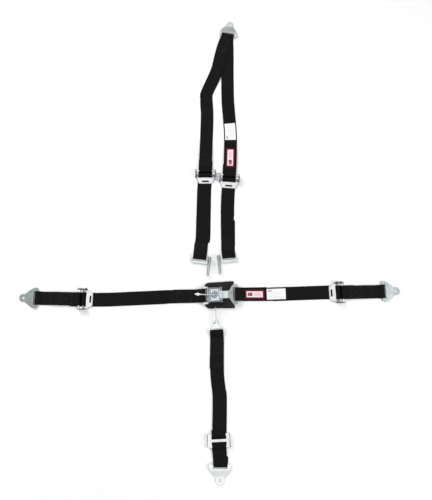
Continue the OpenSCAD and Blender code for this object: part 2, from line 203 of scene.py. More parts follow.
def buildMetalWear():
    # drawn-out handling marks, cloudy plating, and a broken mask along the edges: the metal makes these edges
    # smoother, and paints them dark as shade
    group, start, end = newGroup(
        "metalWear",
        [("Scale", "NodeSocketFloat", 1.0), ("Edge", "NodeSocketFloat", 0.0)],
        [("Cloud", "NodeSocketFloat"), ("Scratches", "NodeSocketFloat"), ("Broken Edge Mask", "NodeSocketFloat"),
         ("Pits", "NodeSocketFloat")])
    coord = group.nodes.new("ShaderNodeTexCoord").outputs["Object"]
    cloud = noiseNode(group, coord, math1(group, "MULTIPLY", start.outputs["Scale"], 60), 4, 0.6)
    mapping = group.nodes.new("ShaderNodeMapping")
    mapping.inputs["Scale"].default_value = (30, 900, 300)
    mapping.inputs["Rotation"].default_value = (0, 0, 0.5)
    group.links.new(coord, mapping.inputs["Vector"])
    lines = noiseNode(group, mapping.outputs[0], start.outputs["Scale"], 5, 0.7)
    scratches = remap(group, lines, 0.56, 0.7)
    pits = noiseNode(group, coord, math1(group, "MULTIPLY", start.outputs["Scale"], 1800), 2, 0.5)
    broken = noiseNode(group, coord, 420, 3, 0.6)
    edge = math1(group, "MULTIPLY", start.outputs["Edge"], remap(group, broken, 0.22, 0.45))
    group.links.new(cloud, end.inputs["Cloud"])
    group.links.new(scratches, end.inputs["Scratches"])
    group.links.new(edge, end.inputs["Broken Edge Mask"])
    group.links.new(pits, end.inputs["Pits"])
    return group


def buildSurfaceDust():
    # a thin film and a few specks of lint
    group, start, end = newGroup(
        "surfaceDust", [("Film Scale", "NodeSocketFloat", 14.0), ("Speck Scale", "NodeSocketFloat", 420.0)],
        [("Film", "NodeSocketFloat"), ("Specks", "NodeSocketFloat")])
    coord = group.nodes.new("ShaderNodeTexCoord").outputs["Object"]
    film = remap(group, noiseNode(group, coord, start.outputs["Film Scale"], 5, 0.65), 0.45, 0.72)
    specks = remap(group, noiseNode(group, coord, start.outputs["Speck Scale"], 2, 0.5), 0.72, 0.78)
    group.links.new(film, end.inputs["Film"])
    group.links.new(specks, end.inputs["Specks"])
    return group


def buildVinylGrain():
    # pebbled upholstery grain with finer creases
    group, start, end = newGroup("vinylGrain", [("Grain Scale", "NodeSocketFloat", 900.0)],
                                 [("Height", "NodeSocketFloat"), ("Valley", "NodeSocketFloat")])
    coord = group.nodes.new("ShaderNodeTexCoord").outputs["Object"]
    cells = group.nodes.new("ShaderNodeTexVoronoi")
    cells.feature = "SMOOTH_F1"
    cells.inputs["Smoothness"].default_value = 0.6
    group.links.new(coord, cells.inputs["Vector"])
    group.links.new(start.outputs["Grain Scale"], cells.inputs["Scale"])
    pebble = math1(group, "SUBTRACT", 1.0, cells.outputs["Distance"])
    fine = noiseNode(group, coord, 2600, 3, 0.6)
    group.links.new(math1(group, "MULTIPLY_ADD", fine, 0.25, pebble), end.inputs["Height"])
    group.links.new(remap(group, pebble, 0.35, 0.6, 1.0, 0.0), end.inputs["Valley"])
    return group


weaveGroup = buildWebbingWeave()
wearGroup = buildMetalWear()
dustGroup = buildSurfaceDust()
grainGroup = buildVinylGrain()


def newMaterial(name):
    material = bpy.data.materials.new(name)
    material.use_nodes = True
    tree = material.node_tree
    return material, tree, tree.nodes["Principled BSDF"]


def useGroup(tree, group, **values):
    node = tree.nodes.new("ShaderNodeGroup")
    node.node_tree = group
    for label, value in values.items():
        socket = node.inputs[label.replace("_", " ")]
        if isinstance(value, (int, float)):
            socket.default_value = value
        else:
            tree.links.new(value, socket)
    return node


def uvOf(tree, name):
    node = tree.nodes.new("ShaderNodeUVMap")
    node.uv_map = name
    return node.outputs[0]


def addBump(tree, shader, height, distance, strength=1.0, previous=None):
    bump = tree.nodes.new("ShaderNodeBump")
    bump.inputs["Distance"].default_value = distance
    bump.inputs["Strength"].default_value = strength
    tree.links.new(height, bump.inputs["Height"])
    if previous is not None:
        tree.links.new(previous, bump.inputs["Normal"])
    tree.links.new(bump.outputs[0], shader.inputs["Normal"])
    return bump.outputs[0]


def webbingMaterial(name, look):
    material, tree, shader = newMaterial(name)
    weave = useGroup(tree, weaveGroup, Strap_Position=uvOf(tree, "strap"), Cord_Width=look["cordWidth"],
                     Float_Length=look["floatLength"])
    dust = useGroup(tree, dustGroup)
    coord = tree.nodes.new("ShaderNodeTexCoord").outputs["Object"]
    tint = remap(tree, noiseNode(tree, coord, 9, 3, 0.6), 0.35, 0.65)
    # the cord tops take the thread colour and the hollows between the cords the darker hollow colours:
    # painted shade in the weave
    hollowShadeTone = mixColour(tree, tint, look["hollowShade"], look["hollowShadeWarm"])
    threadsOverHollowShade = mixColour(tree, weave.outputs["Thread"], hollowShadeTone, look["thread"])
    dusty = mixColour(tree, math1(tree, "MULTIPLY", dust.outputs["Film"], look["dust"]), threadsOverHollowShade,
                      (0.16, 0.155, 0.15))
    final = mixColour(tree, math1(tree, "MULTIPLY", dust.outputs["Specks"], look["lint"]), dusty,
                      (0.4, 0.4, 0.4))
    tree.links.new(final, shader.inputs["Base Color"])
    rough = math1(tree, "MULTIPLY_ADD", weave.outputs["Thread"], -0.14, look["roughness"])
    tree.links.new(rough, shader.inputs["Roughness"])
    shader.inputs["Sheen Weight"].default_value = look["sheen"]
    shader.inputs["Sheen Roughness"].default_value = 0.45
    shader.inputs["Specular IOR Level"].default_value = 0.10
    addBump(tree, shader, weave.outputs["Height"], 0.00032, 0.75)
    return material


def metalMaterial(name, look):
    material, tree, shader = newMaterial(name)
    edge = tree.nodes.new("ShaderNodeAttribute")
    edge.attribute_name = "edge"
    wear = useGroup(tree, wearGroup, Scale=look["scale"], Edge=edge.outputs["Fac"])
    dust = useGroup(tree, dustGroup, Film_Scale=22.0, Speck_Scale=700.0)
    cloudy = mixColour(tree, remap(tree, wear.outputs["Cloud"], 0.3, 0.7), look["plate"], look["plateCloud"])
    # along the bevelled rims the plate takes the dark edge colour: painted shade on the rims; on the lever
    # cover the same mask gives its sunk grooves their dark paint
    rimShadeAndGroovePaint = mixColour(tree, wear.outputs["Broken Edge Mask"], cloudy, look["edge"])
    scratched = mixColour(tree, math1(tree, "MULTIPLY", wear.outputs["Scratches"], look["scratch"]), rimShadeAndGroovePaint,
                          look["scratchTone"])
    tree.links.new(scratched, shader.inputs["Base Color"])
    shader.inputs["Metallic"].default_value = 1.0
    rough = math1(tree, "MULTIPLY_ADD", wear.outputs["Cloud"], look["roughVary"], look["roughness"])
    rough = math1(tree, "MULTIPLY_ADD", wear.outputs["Scratches"], 0.10, rough)
    rough = math1(tree, "MULTIPLY_ADD", dust.outputs["Film"], 0.06, rough)
    rough = math1(tree, "MULTIPLY_ADD", wear.outputs["Broken Edge Mask"], -0.08, rough, clamp=True)
    tree.links.new(rough, shader.inputs["Roughness"])
    relief = math1(tree, "MULTIPLY_ADD", wear.outputs["Scratches"], -0.6, wear.outputs["Pits"])
    addBump(tree, shader, relief, look["bump"], 0.5)
    if "rubbed" in look:
        # the neck that slides in the latch is rubbed bright, the flare keeps its cloudy plating
        split = tree.nodes.new("ShaderNodeSeparateXYZ")
        tree.links.new(tree.nodes.new("ShaderNodeTexCoord").outputs["Object"], split.inputs[0])
        ragged = math1(tree, "MULTIPLY_ADD", wear.outputs["Cloud"], 0.012, split.outputs["X"])
        rubbed = remap(tree, ragged, *look["rubbed"], 1.0, 0.0)
        tree.links.new(mixColour(tree, rubbed, scratched, look["bright"]), shader.inputs["Base Color"])
    return material


def vinylMaterial(name, look):
    material, tree, shader = newMaterial(name)
    grain = useGroup(tree, grainGroup, Grain_Scale=look["grainScale"])
    dust = useGroup(tree, dustGroup, Film_Scale=26.0, Speck_Scale=520.0)
    # the grain's valleys take the darker valley colour: painted shade in the pebbling
    base = mixColour(tree, grain.outputs["Valley"], look["face"], look["valleyShade"])
    base = mixColour(tree, math1(tree, "MULTIPLY", dust.outputs["Film"], 0.03), base, (0.16, 0.16, 0.16))
    tree.links.new(base, shader.inputs["Base Color"])
    rough = math1(tree, "MULTIPLY_ADD", grain.outputs["Valley"], 0.18, look["roughness"])
    tree.links.new(rough, shader.inputs["Roughness"])
    shader.inputs["Specular IOR Level"].default_value = 0.22
    addBump(tree, shader, grain.outputs["Height"], 0.00025, 0.6)
    return material


def threadMaterial(name, colour):
    material, tree, shader = newMaterial(name)
    coord = tree.nodes.new("ShaderNodeTexCoord").outputs["Object"]
    fuzz = noiseNode(tree, coord, 3000, 2, 0.5)
    tree.links.new(mixColour(tree, fuzz, tuple(c * 0.6 for c in colour), tuple(c * 1.3 for c in colour)),
                   shader.inputs["Base Color"])
    shader.inputs["Roughness"].default_value = 0.5
    shader.inputs["Sheen Weight"].default_value = 0.2
    addBump(tree, shader, fuzz, 0.0001, 0.6)
    return material


def barMask(tree, u, v, u0, u1, v0, v1, soft=0.006):
    # 1 inside a rectangle of the label's face, 0 outside
    def within(value, low, high):
        return math1(tree, "MULTIPLY", remap(tree, value, low - soft, low + soft),
                     remap(tree, value, high - soft, high + soft, 1.0, 0.0))

    return math1(tree, "MULTIPLY", within(u, u0, u1), within(v, v0, v1))


def labelMaterial(name, look):
    material, tree, shader = newMaterial(name)
    split = tree.nodes.new("ShaderNodeSeparateXYZ")
    tree.links.new(uvOf(tree, "face"), split.inputs[0])
    v, u = split.outputs["X"], split.outputs["Y"]
    edgeU, edgeV = look["border"]
    field = barMask(tree, u, v, edgeU, 1 - edgeU, edgeV, 1 - edgeV, 0.012)
    colour = mixColour(tree, field, look["rim"], look["field"])
    for u0, u1, v0, v1, tone in look["bars"]:
        mask = barMask(tree, u, v, u0, u1, v0, v1, 0.008)
        colour = mixColour(tree, math1(tree, "MULTIPLY", mask, tone[3]), colour, tone[:3])
    weave = useGroup(tree, weaveGroup, Strap_Position=uvOf(tree, "strap"), Cord_Width=0.45, Float_Length=0.6)
    # the weave's hollows are painted darker: painted shade between the threads
    labelHollowShade = math1(tree, "MULTIPLY_ADD", weave.outputs["Thread"], -0.22, 0.22)
    colour = mixColour(tree, labelHollowShade, colour, (0.05, 0.025, 0.03))
    tree.links.new(colour, shader.inputs["Base Color"])
    shader.inputs["Roughness"].default_value = 0.6
    shader.inputs["Sheen Weight"].default_value = 0.03
    shader.inputs["Specular IOR Level"].default_value = 0.15
    addBump(tree, shader, weave.outputs["Height"], 0.00012, 0.6)
    return material


# the two dark hollow colours are painted shade between the cords; thread is the cords' own colour
webbing = webbingMaterial("blackWebbing", {"cordWidth": 1.25, "floatLength": 2.4,
                                           "hollowShade": (0.0010, 0.0010, 0.0014),
                                           "hollowShadeWarm": (0.0019, 0.0014, 0.0012),
                                           "thread": (0.0052, 0.0048, 0.0048), "dust": 0.010, "lint": 0.10,
                                           "roughness": 0.7, "sheen": 0.012})
zincBase = {"scale": 0.9, "scratch": 0.4, "scratchTone": (0.45, 0.50, 0.56), "roughness": 0.26,
            "roughVary": 0.14, "bump": 0.00004}


# edge is the colour of the bevelled rims, painted shade there; on the lever cover it is the dark paint in the
# grooves
def plated(name, plate, plateCloud, edge, **own):
    return metalMaterial(name, {**zincBase, "plate": plate, "plateCloud": plateCloud, "edge": edge, **own})


brightZinc = plated("brightZinc", (0.84, 0.84, 0.855), (0.72, 0.73, 0.75), (0.17, 0.17, 0.185),
                    scale=1.0, scratch=0.35, scratchTone=(0.55, 0.56, 0.58), roughness=0.24,
                    roughVary=0.12, bump=0.00003)
blueZinc = plated("blueZinc", (0.74, 0.80, 0.84), (0.62, 0.70, 0.75), (0.20, 0.23, 0.26))
coverZinc = plated("coverZinc", (0.70, 0.77, 0.80), (0.54, 0.62, 0.67), (0.035, 0.045, 0.055))
greyZinc = plated("greyZinc", (0.32, 0.36, 0.33), (0.24, 0.28, 0.26), (0.12, 0.13, 0.13), scale=0.8,
                  scratch=0.45, scratchTone=(0.34, 0.37, 0.36), roughness=0.34, roughVary=0.16,
                  bump=0.00005)
linkZinc = plated("linkZinc", (0.46, 0.51, 0.49), (0.30, 0.35, 0.33), (0.12, 0.13, 0.13), scale=0.8,
                  scratch=0.45, scratchTone=(0.24, 0.27, 0.26), roughness=0.34, roughVary=0.16,
                  bump=0.00005, rubbed=(0.034, 0.045), bright=(0.68, 0.74, 0.74))
satinZinc = plated("satinZinc", (0.54, 0.59, 0.60), (0.42, 0.47, 0.48), (0.13, 0.145, 0.15),
                   scratchTone=(0.30, 0.33, 0.34), roughness=0.3)
paleZinc = plated("paleZinc", (0.76, 0.80, 0.80), (0.64, 0.69, 0.69), (0.16, 0.18, 0.18), scale=1.0,
                  scratch=0.3, scratchTone=(0.45, 0.48, 0.48), roughness=0.27, roughVary=0.12,
                  bump=0.00003)
# a paler copy of the zinc plating, made brighter to make up for the darker sky that tilted plates reflect:
# painted light
paintedLightZinc = plated("paintedLightZinc", (0.94, 0.96, 0.96), (0.85, 0.88, 0.88), (0.42, 0.45, 0.46), scale=1.0,
                   scratch=0.3, scratchTone=(0.55, 0.58, 0.58), roughness=0.25, roughVary=0.12,
                   bump=0.00003)
pinSteel = plated("pinSteel", (0.42, 0.42, 0.44), (0.30, 0.30, 0.32), (0.60, 0.60, 0.61), scale=1.4,
                  scratch=0.5, scratchTone=(0.35, 0.35, 0.36), roughness=0.22, roughVary=0.16)
vinyl = vinylMaterial("charcoalVinyl", {"grainScale": 950.0, "face": (0.0115, 0.0108, 0.0104),
                                        "valleyShade": (0.0058, 0.0056, 0.0056), "roughness": 0.5})
blackThread = threadMaterial("blackThread", (0.02, 0.02, 0.022))
redThread = threadMaterial("redThread", (0.36, 0.01, 0.05))
whiteThread = threadMaterial("whiteThread", (0.75, 0.75, 0.74))
# blocks and bars in place of print: from and to along the label, from and to across it, tone and strength
redBars = [
    (0.13, 0.38, 0.30, 0.70, (0.03, 0.03, 0.045, 0.92)), (0.17, 0.25, 0.42, 0.70, (0.85, 0.10, 0.16, 0.9)),
    (0.46, 0.88, 0.60, 0.70, (0.80, 0.28, 0.33, 0.8)), (0.46, 0.80, 0.44, 0.53, (0.80, 0.28, 0.33, 0.7)),
    (0.46, 0.86, 0.29, 0.37, (0.80, 0.28, 0.33, 0.6))]
redLabel = labelMaterial("redLabel", {
    "border": (0.075, 0.15), "rim": (0.21, 0.003, 0.024), "field": (0.95, 0.82, 0.83), "bars": redBars})
greyBars = [(0.08, 0.26, 0.74, 0.88, (0.16, 0.17, 0.28, 0.85)),
            (0.11, 0.23, 0.78, 0.84, (0.75, 0.75, 0.80, 0.9))]
greyBars += [(0.10, 0.88 - 0.07 * (k % 3), 0.64 - 0.13 * k, 0.68 - 0.13 * k, (0.62, 0.63, 0.66, 0.55))
             for k in range(5)]
whiteLabel = labelMaterial("whiteLabel", {
    "border": (0.02, 0.03), "rim": (0.86, 0.86, 0.85), "field": (0.93, 0.93, 0.92), "bars": greyBars})
print("materials ready")

# where things lie, as in the frame: millimetres, and a turn in degrees
places = {
    "latch": (0, 0, 2.3),
    "lapLeftAdjuster": (-521, -16, -1.4), "lapRightAdjuster": (457, 9, 181.8),
    "shoulderLeftAdjuster": (-56, 484, -90), "shoulderRightAdjuster": (40, 465, -94),
    "subSlide": (-2, -541, -87),
    "lapLeftBracket": (-713, -11.3, -1.4), "lapRightBracket": (639.5, 14.7, 181.8),
    "shoulderBracket": (38, 1125.5, -100), "subBracket": (1, -629.5, 90),
    "leftTip": (-77, 147, 84), "rightTip": (36.5, 152, 95), "subTip": (-10.5, -139, -87.5)}


def moved(x, y, z):
    return Matrix.Translation((x * mm, y * mm, z * mm))


def turned(degrees, axis):
    return Matrix.Rotation(math.radians(degrees), 4, axis)


def placed(name, height=0.0):
    x, y, turn = places[name]
    return moved(x, y, height) @ turned(turn, "Z")


def local(name, x, y=0.0):
    # a point of a placed part, seen from above, in millimetres
    px, py, turn = places[name]
    c, s = math.cos(math.radians(turn)), math.sin(math.radians(turn))
    return (px + x * c - y * s, py + x * s + y * c)


def finishPiece(piece, body, replaced=(), material=None, sharp=35):
    if material is not None:
        piece.data.materials.clear()
        piece.data.materials.append(material)
    if piece.type == "MESH" and sharp:
        piece.data.shade_smooth()
        piece.data.set_sharp_from_angle(angle=math.radians(sharp))
    if piece.name not in bpy.context.collection.objects:
        bpy.context.collection.objects.link(piece)
    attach(piece, body)
    if replaced:
        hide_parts(*replaced)
    return piece


def makeRun(points):
    # a smooth plan line through the points, sampled closely
    pts = [Vector(p).to_2d() for p in points]
    pts = [pts[0] * 2 - pts[1]] + pts + [pts[-1] * 2 - pts[-2]]
    line = []
    for i in range(1, len(pts) - 2):
        a, b, c, d = pts[i - 1:i + 3]
        for k in range(20):
            t = k / 20
            line.append(0.5 * (2 * b + (c - a) * t + (2 * a - 5 * b + 4 * c - d) * t * t
                               + (3 * b - a - 3 * c + d) * t * t * t))
    line.append(pts[-2])
    lengths = [0.0]
    for a, b in zip(line, line[1:]):
        lengths.append(lengths[-1] + (b - a).length)
    return line, lengths


def onRun(run, u):
    # the point u along the run, and the run's direction there; past the ends it goes straight on
    line, lengths = run
    if u <= 0:
        way = (line[1] - line[0]).normalized()
        return line[0] + way * u, way
    if u >= lengths[-1]:
        way = (line[-1] - line[-2]).normalized()
        return line[-1] + way * (u - lengths[-1]), way
    low, high = 0, len(lengths) - 1
    while high - low > 1:
        middle = (low + high) // 2
        if lengths[middle] <= u:
            low = middle
        else:
            high = middle
    t = (u - lengths[low]) / (lengths[high] - lengths[low])
    before, after = max(low - 2, 0), min(high + 2, len(line) - 1)
    return line[low].lerp(line[high], t), (line[after] - line[before]).normalized()


def turnRound(u, z, radius, start, end, steps=9):
    return [(u + radius * math.cos(math.radians(start + (end - start) * k / steps)),
             z + radius * math.sin(math.radians(start + (end - start) * k / steps)))
            for k in range(steps + 1)]


def easeTo(start, end, steps=7):
    # a soft S from one height to another
    out = []
    for k in range(1, steps + 1):
        t = k / steps
        out.append((start[0] + (end[0] - start[0]) * t, start[1] + (end[1] - start[1]) * t * t * (3 - 2 * t)))
    return out


def pieceFrom(name, bm):
    # a new object from the finished bmesh, which is freed
    mesh = bpy.data.meshes.new(name)
    bm.to_mesh(mesh)
    bm.free()
    return bpy.data.objects.new(name, mesh)


def meshFrom(source):
    # the mesh that an object's curve or modifiers give
    return bpy.data.meshes.new_from_object(source.evaluated_get(bpy.context.evaluated_depsgraph_get()))


def meshFromCurve(name, curve):
    wire = bpy.data.objects.new(name, curve)
    bpy.context.collection.objects.link(wire)
    mesh = meshFrom(wire)
    bpy.data.objects.remove(wire)
    return mesh


def skinRings(bm, rings):
    # a closed tube through rings of vertices, with a flat face at each end
    count = len(rings[0])
    for a, b in zip(rings, rings[1:]):
        for k in range(count):
            bm.faces.new((a[k], b[k], b[(k + 1) % count], a[(k + 1) % count]))
    bm.faces.new(rings[0])
    bm.faces.new(rings[-1][::-1])


def roundSewingBar():
    # the turn round an adjuster's sewing bar, from the lower layer back to the upper one
    h, r = sewingBar["height"], sewingBar["radius"]
    return ([(20, onTurned)] + easeTo((20, onTurned), (1.5, h - r), 4) + turnRound(0, h, r, -90, -270)[1:]
            + easeTo((1.5, h + r), (22, onTop), 6))


def overPlateBar(far):
    return turnRound(far, plateBar["height"], plateBar["radius"], 90, -90)[1:]


def underPlateBar():
    return turnRound(0, plateBar["height"], plateBar["radius"], -90, -270)[1:]


def fillIn(profile, longest=7.0):
    out = [profile[0]]
    for a, b in zip(profile, profile[1:]):
        count = max(1, math.ceil(math.dist(a, b) / longest))
        out += [(a[0] + (b[0] - a[0]) * k / count, a[1] + (b[1] - a[1]) * k / count)
                for k in range(1, count + 1)]
    return out


strapSize = {"width": 52.8, "thick": 1.4}
onFloor, onFirst = 0.85, 2.45  # heights of a webbing's middle: on the floor, on one layer of webbing
onTurned, onTop = 4.35, 6.0  # the same for the two layers at a sewing bar
plateBar = {"height": 5.6, "radius": 4.8}  # webbing turning round a bracket's or fitting's bar
sewingBar = {"height": 9.0, "radius": 4.5}
stripSection = [(-1, 0.30), (-0.992, 0.66), (-0.975, 0.90), (-0.94, 1.0), (-0.86, 0.94), (-0.6, 0.98),
                (-0.3, 0.96), (0, 0.98), (0.3, 0.96), (0.6, 0.98), (0.86, 0.94), (0.94, 1.0), (0.975, 0.90),
                (0.992, 0.66), (1, 0.30)]


def webbingStrip(name, run, profile, width=strapSize["width"], thick=strapSize["thick"], shift=0.0,
                 ripple=0.0, seed=0, creases=(), host=50.0, lay=(0.0, 1.0, 0.0, 1.0)):
    # profile: distance along the run and height of the webbing's middle; host is the width of the strap whose
    # waviness it shares; lay is how far aside the webbing starts, over what length, and the same at its end
    profile = fillIn(profile)
    bm = bmesh.new()
    strapUv = bm.loops.layers.uv.new("strap")
    faceUv = bm.loops.layers.uv.new("face")
    rings, lengths, travelled = [], [], 0.0
    whole = sum(math.dist(a, b) for a, b in zip(profile, profile[1:]))
    for i, (u, z) in enumerate(profile):
        place, way = onRun(run, u)
        a, b = profile[max(i - 1, 0)], profile[min(i + 1, len(profile) - 1)]
        du, dz = b[0] - a[0], b[1] - a[1]
        size = math.hypot(du, dz) or 1.0
        along = Vector((way.x * du / size, way.y * du / size, dz / size))
        side = Vector((-way.y, way.x, 0))
        normal = side.cross(along) * -1.0
        if i:
            travelled += math.dist(profile[i - 1], (u, z))
        wobble = ripple * noise.noise(Vector((u * 0.010 + seed * 7.3, seed * 3.1, 0)))
        sway = 0.35 * noise.noise(Vector((u * 0.014, seed * 5.7 + 9, 0)))
        sway += lay[0] * max(0.0, 1 - travelled / lay[1])
        sway += lay[2] * max(0.0, 1 - (whole - travelled) / lay[3])
        ring = []
        for top in (1, -1):
            for across, depth in (stripSection if top == 1 else stripSection[::-1]):
                spot = across * width / host
                lift = abs(wobble) * (0.4 + 0.6 * spot * spot)
                lift += ripple * 0.5 * max(0.0, noise.noise(Vector((u * 0.022, spot * 1.1, seed * 2.7))))
                pull = 0.0
                for where, high, reach, slant in creases:
                    near = math.exp(-((u - where - slant * across) / reach) ** 2)
                    lift += high * near * (0.6 + 0.4 * across)
                    pull += 1.2 * near * max(0.0, across)
                point = Vector((place.x, place.y, z)) + side * (across * (width / 2 - pull) + shift + sway)
                point += normal * (top * depth * thick / 2)
                point.z += lift
                ring.append(bm.verts.new(point * mm))
        rings.append(ring)
        lengths.append(travelled)
    count = len(stripSection)
    total = lengths[-1]
    uOf = [across * width / 2 for across, _ in stripSection]
    uOf = uOf + [width * 1.5 - value for value in uOf[::-1]]
    vOf = [across * 0.5 + 0.5 for across, _ in stripSection]
    vOf = vOf + vOf[::-1]
    for i in range(len(rings) - 1):
        for k in range(2 * count):
            n = (k + 1) % (2 * count)
            face = bm.faces.new((rings[i][k], rings[i + 1][k], rings[i + 1][n], rings[i][n]))
            un = uOf[n] if n else uOf[k] + 1.0
            corners = ((uOf[k], vOf[k], lengths[i]), (uOf[k], vOf[k], lengths[i + 1]),
                       (un, vOf[n], lengths[i + 1]), (un, vOf[n], lengths[i]))
            for loop, (uu, vv, ll) in zip(face.loops, corners):
                loop[strapUv].uv = (uu * mm, ll * mm)
                loop[faceUv].uv = (vv, ll / total)
    for ring in (rings[0], rings[-1][::-1]):
        for k in range(count - 1):
            quad = (ring[k], ring[k + 1], ring[2 * count - 2 - k], ring[2 * count - 1 - k])
            face = bm.faces.new(quad)
            for loop in face.loops:
                loop[strapUv].uv = (loop.vert.co.x, loop.vert.co.y)
    bmesh.ops.recalc_face_normals(bm, faces=bm.faces)
    return pieceFrom(name, bm)


# one stitch: how far along, how thick and how high
threadShape = [(0, 0.35, -0.30), (0.2, 0.95, 0.05), (0.5, 1.0, 0.14), (0.8, 0.95, 0.05), (1, 0.35, -0.30)]


def stitchLines(name, run, lines, heightAt, material, body, shift=0.0, long=2.5, gap=0.9,
                radius=0.32):
    # lines: each a list of (distance along the run, distance across); one short raised thread after another
    bm = bmesh.new()
    for line in lines:
        for (u0, c0), (u1, c1) in zip(line, line[1:]):
            size = math.dist((u0, c0), (u1, c1))
            count = max(1, int(size / (long + gap)))
            pitch = size / count
            for k in range(count):
                ends = []
                for t in ((k + 0.5) * pitch - long / 2, (k + 0.5) * pitch + long / 2):
                    u, c = u0 + (u1 - u0) * t / size, c0 + (c1 - c0) * t / size
                    place, way = onRun(run, u)
                    aside = c + shift
                    ends.append(Vector((place.x - way.y * aside, place.y + way.x * aside, heightAt(u))))
                along = (ends[1] - ends[0]).normalized()
                side = along.cross(Vector((0, 0, 1))).normalized()
                up = side.cross(along)
                rows = []
                for t, swell, lift in threadShape:
                    middle = ends[0].lerp(ends[1], t) + up * lift
                    rows.append([bm.verts.new((middle + (side * math.cos(a) + up * math.sin(a)) * radius
                                               * swell) * mm) for a in (0, 1.05, 2.09, 3.14, 4.19, 5.24)])
                skinRings(bm, rows)
    bmesh.ops.recalc_face_normals(bm, faces=bm.faces)
    return finishPiece(pieceFrom(name, bm), body, (), material, 60)


def boxAndCross(u0, u1, half=20.0):
    # the usual sewn box with a cross in it, and a bar at each end
    return [[(u0, -half), (u1, -half), (u1, half), (u0, half), (u0, -half)], [(u0, -half), (u1, half)],
            [(u0, half), (u1, -half)], [(u0 - 2.2, -half), (u0 - 2.2, half)],
            [(u1 + 2.2, -half), (u1 + 2.2, half)]]


def zigZagBars(us, half=21.0, pitch=3.0, swing=1.6):
    rows = []
    for u in us:
        count = int(2 * half / pitch)
        rows.append([(u + (swing if k % 2 else -swing), -half + k * pitch) for k in range(count + 1)])
    return rows


def heightOver(profile, thick=strapSize["thick"]):
    # height of the top face of the uppermost webbing at a distance along the run
    def at(u):
        best = 0.0
        for (u0, z0), (u1, z1) in zip(profile, profile[1:]):
            low, high = min(u0, u1), max(u0, u1)
            if low <= u <= high and high - low > 1e-6:
                best = max(best, z0 + (z1 - z0) * (u - u0) / (u1 - u0))
        return best + thick / 2
    return at


print("webbing tools ready")

leftLapRun = makeRun([(-58.95, -2.37), (-110, -4), (-184, -5.5), (-317, -11.5), (-434, -16.5), (-520, -17),
                      (-592, -15.5)])
rightLapRun = makeRun([(65.95, 2.65), (110, 3.6), (175, 3.6), (268, 6.2), (386, 10.5), (457, 12),
                       (528, 13.5)])


def innerLapStrap(side, run, barHeight, fall, body, node, tailFrom, end, seed):
    # from under the sewn end, round the buckle's bar, and out along the floor to the adjuster
    profile = [(118, onFloor), (fall + 4, onFloor)] + easeTo((fall + 4, onFloor), (3, barHeight - 4.85), 6)
    profile += turnRound(0, barHeight, 4.85, -90, -270)[1:]
    profile += easeTo((1.5, barHeight + 4.8), (fall, onFirst), 8)
    profile += [(117, onFirst)] + easeTo((119, onFirst), (131, onFloor), 4) + [(tailFrom - 16, onFloor)]
    profile += easeTo((tailFrom - 14, onFloor), (tailFrom, onFirst), 4) + [(end, onFirst)]
    strap = webbingStrip("lap%sStrap" % side, run, profile, seed=seed,
                         lay=(2.2 if side == "Right" else -1.2, 118, 0, 1))
    finishPiece(strap, body, (node,), webbing)
    tail = webbingStrip("lap%sTail" % side, run, [(tailFrom - 4, onFloor), (end - 3, onFloor)],
                        strapSize["width"] - 0.4, shift=1.3 if side == "Left" else -1.1, seed=seed + 3)
    finishPiece(tail, body, (), webbing)
    over = heightOver(profile)
    rows = boxAndCross(fall + 12, 104)
    if side == "Right":
        rows = [[(46, y), (108, y)] for y in (-21, -19, 19, 21)]
    stitchLines("lap%sStitching" % side, run, rows, over, blackThread, body)
    return profile


innerLapStrap("Left", leftLapRun, 11.5, 40, "lap_left_belt", "lap_left_inner_strap", 150, 524, 1)
rightLapProfile = innerLapStrap("Right", rightLapRun, 15.5, 33, "lap_right_belt", "lap_right_inner_strap",
                                148, 461, 2)


def lengthOf(run):
    return run[1][-1]


def outerLapStrap(side, adjuster, bracket, body, node, seed):
    # doubled webbing between the adjuster's sewing bar and the bracket's bar
    run = makeRun([local(adjuster, -24), local(adjuster, -100), local(bracket, 30), local(bracket, 0)])
    far = lengthOf(run)
    profile = [(60, onTurned)] + roundSewingBar() + [(98, onTop)] + easeTo((100, onTop), (127, onFirst), 6)
    profile += [(far - 26, onFirst)] + easeTo((far - 24, onFirst), (far - 1, 10.3), 7)
    profile += overPlateBar(far) + [(far - 6, onFloor), (far - 26, onFloor), (128, onFloor)]
    profile += easeTo((127, onFloor), (101, onTurned), 5) + [(61, onTurned)]
    strap = webbingStrip("lap%sAnchorStrap" % side, run, profile, 52.6, 1.35, seed=seed)
    finishPiece(strap, body, (node,), webbing)
    over = heightOver(profile, 1.35)
    stitchLines("lap%sAnchorStitching" % side, run, boxAndCross(30, 74) + zigZagBars([112]), over,
                blackThread, body)


outerLapStrap("Left", "lapLeftAdjuster", "lapLeftBracket", "lap_left_anchor_strap", "lap_left_outer_strap", 5)
outerLapStrap("Right", "lapRightAdjuster", "lapRightBracket", "lap_right_anchor_strap",
              "lap_right_outer_strap", 6)
print("lap belt webbing ready")

leftUpperRun = makeRun([local("shoulderLeftAdjuster", -24), local("shoulderLeftAdjuster", -60), (-54, 600),
                        (-51, 690), (-50, 760), (-53.5, 825), (-53, 852), (-42, 880), (-30, 907), (-21, 928),
                        (-7, 965), (3, 1010), (14, 1057), (26, 1094), local("shoulderBracket", 14)])
rightUpperRun = makeRun([local("shoulderRightAdjuster", -24), local("shoulderRightAdjuster", -60),
                         (46.5, 590), (47, 637), (46, 690), (42, 744), (38, 798), (36, 850), (35.6, 930),
                         (36, 1057), (35, 1092), local("shoulderBracket", 14), local("shoulderBracket", 0)])


def upperShoulderStrap(side, run, profile, nodeNames, seed, creases=()):
    strap = webbingStrip("shoulder%sUpperStrap" % side, run, profile, ripple=0.9, seed=seed, creases=creases)
    finishPiece(strap, "shoulder_yoke", nodeNames, webbing)


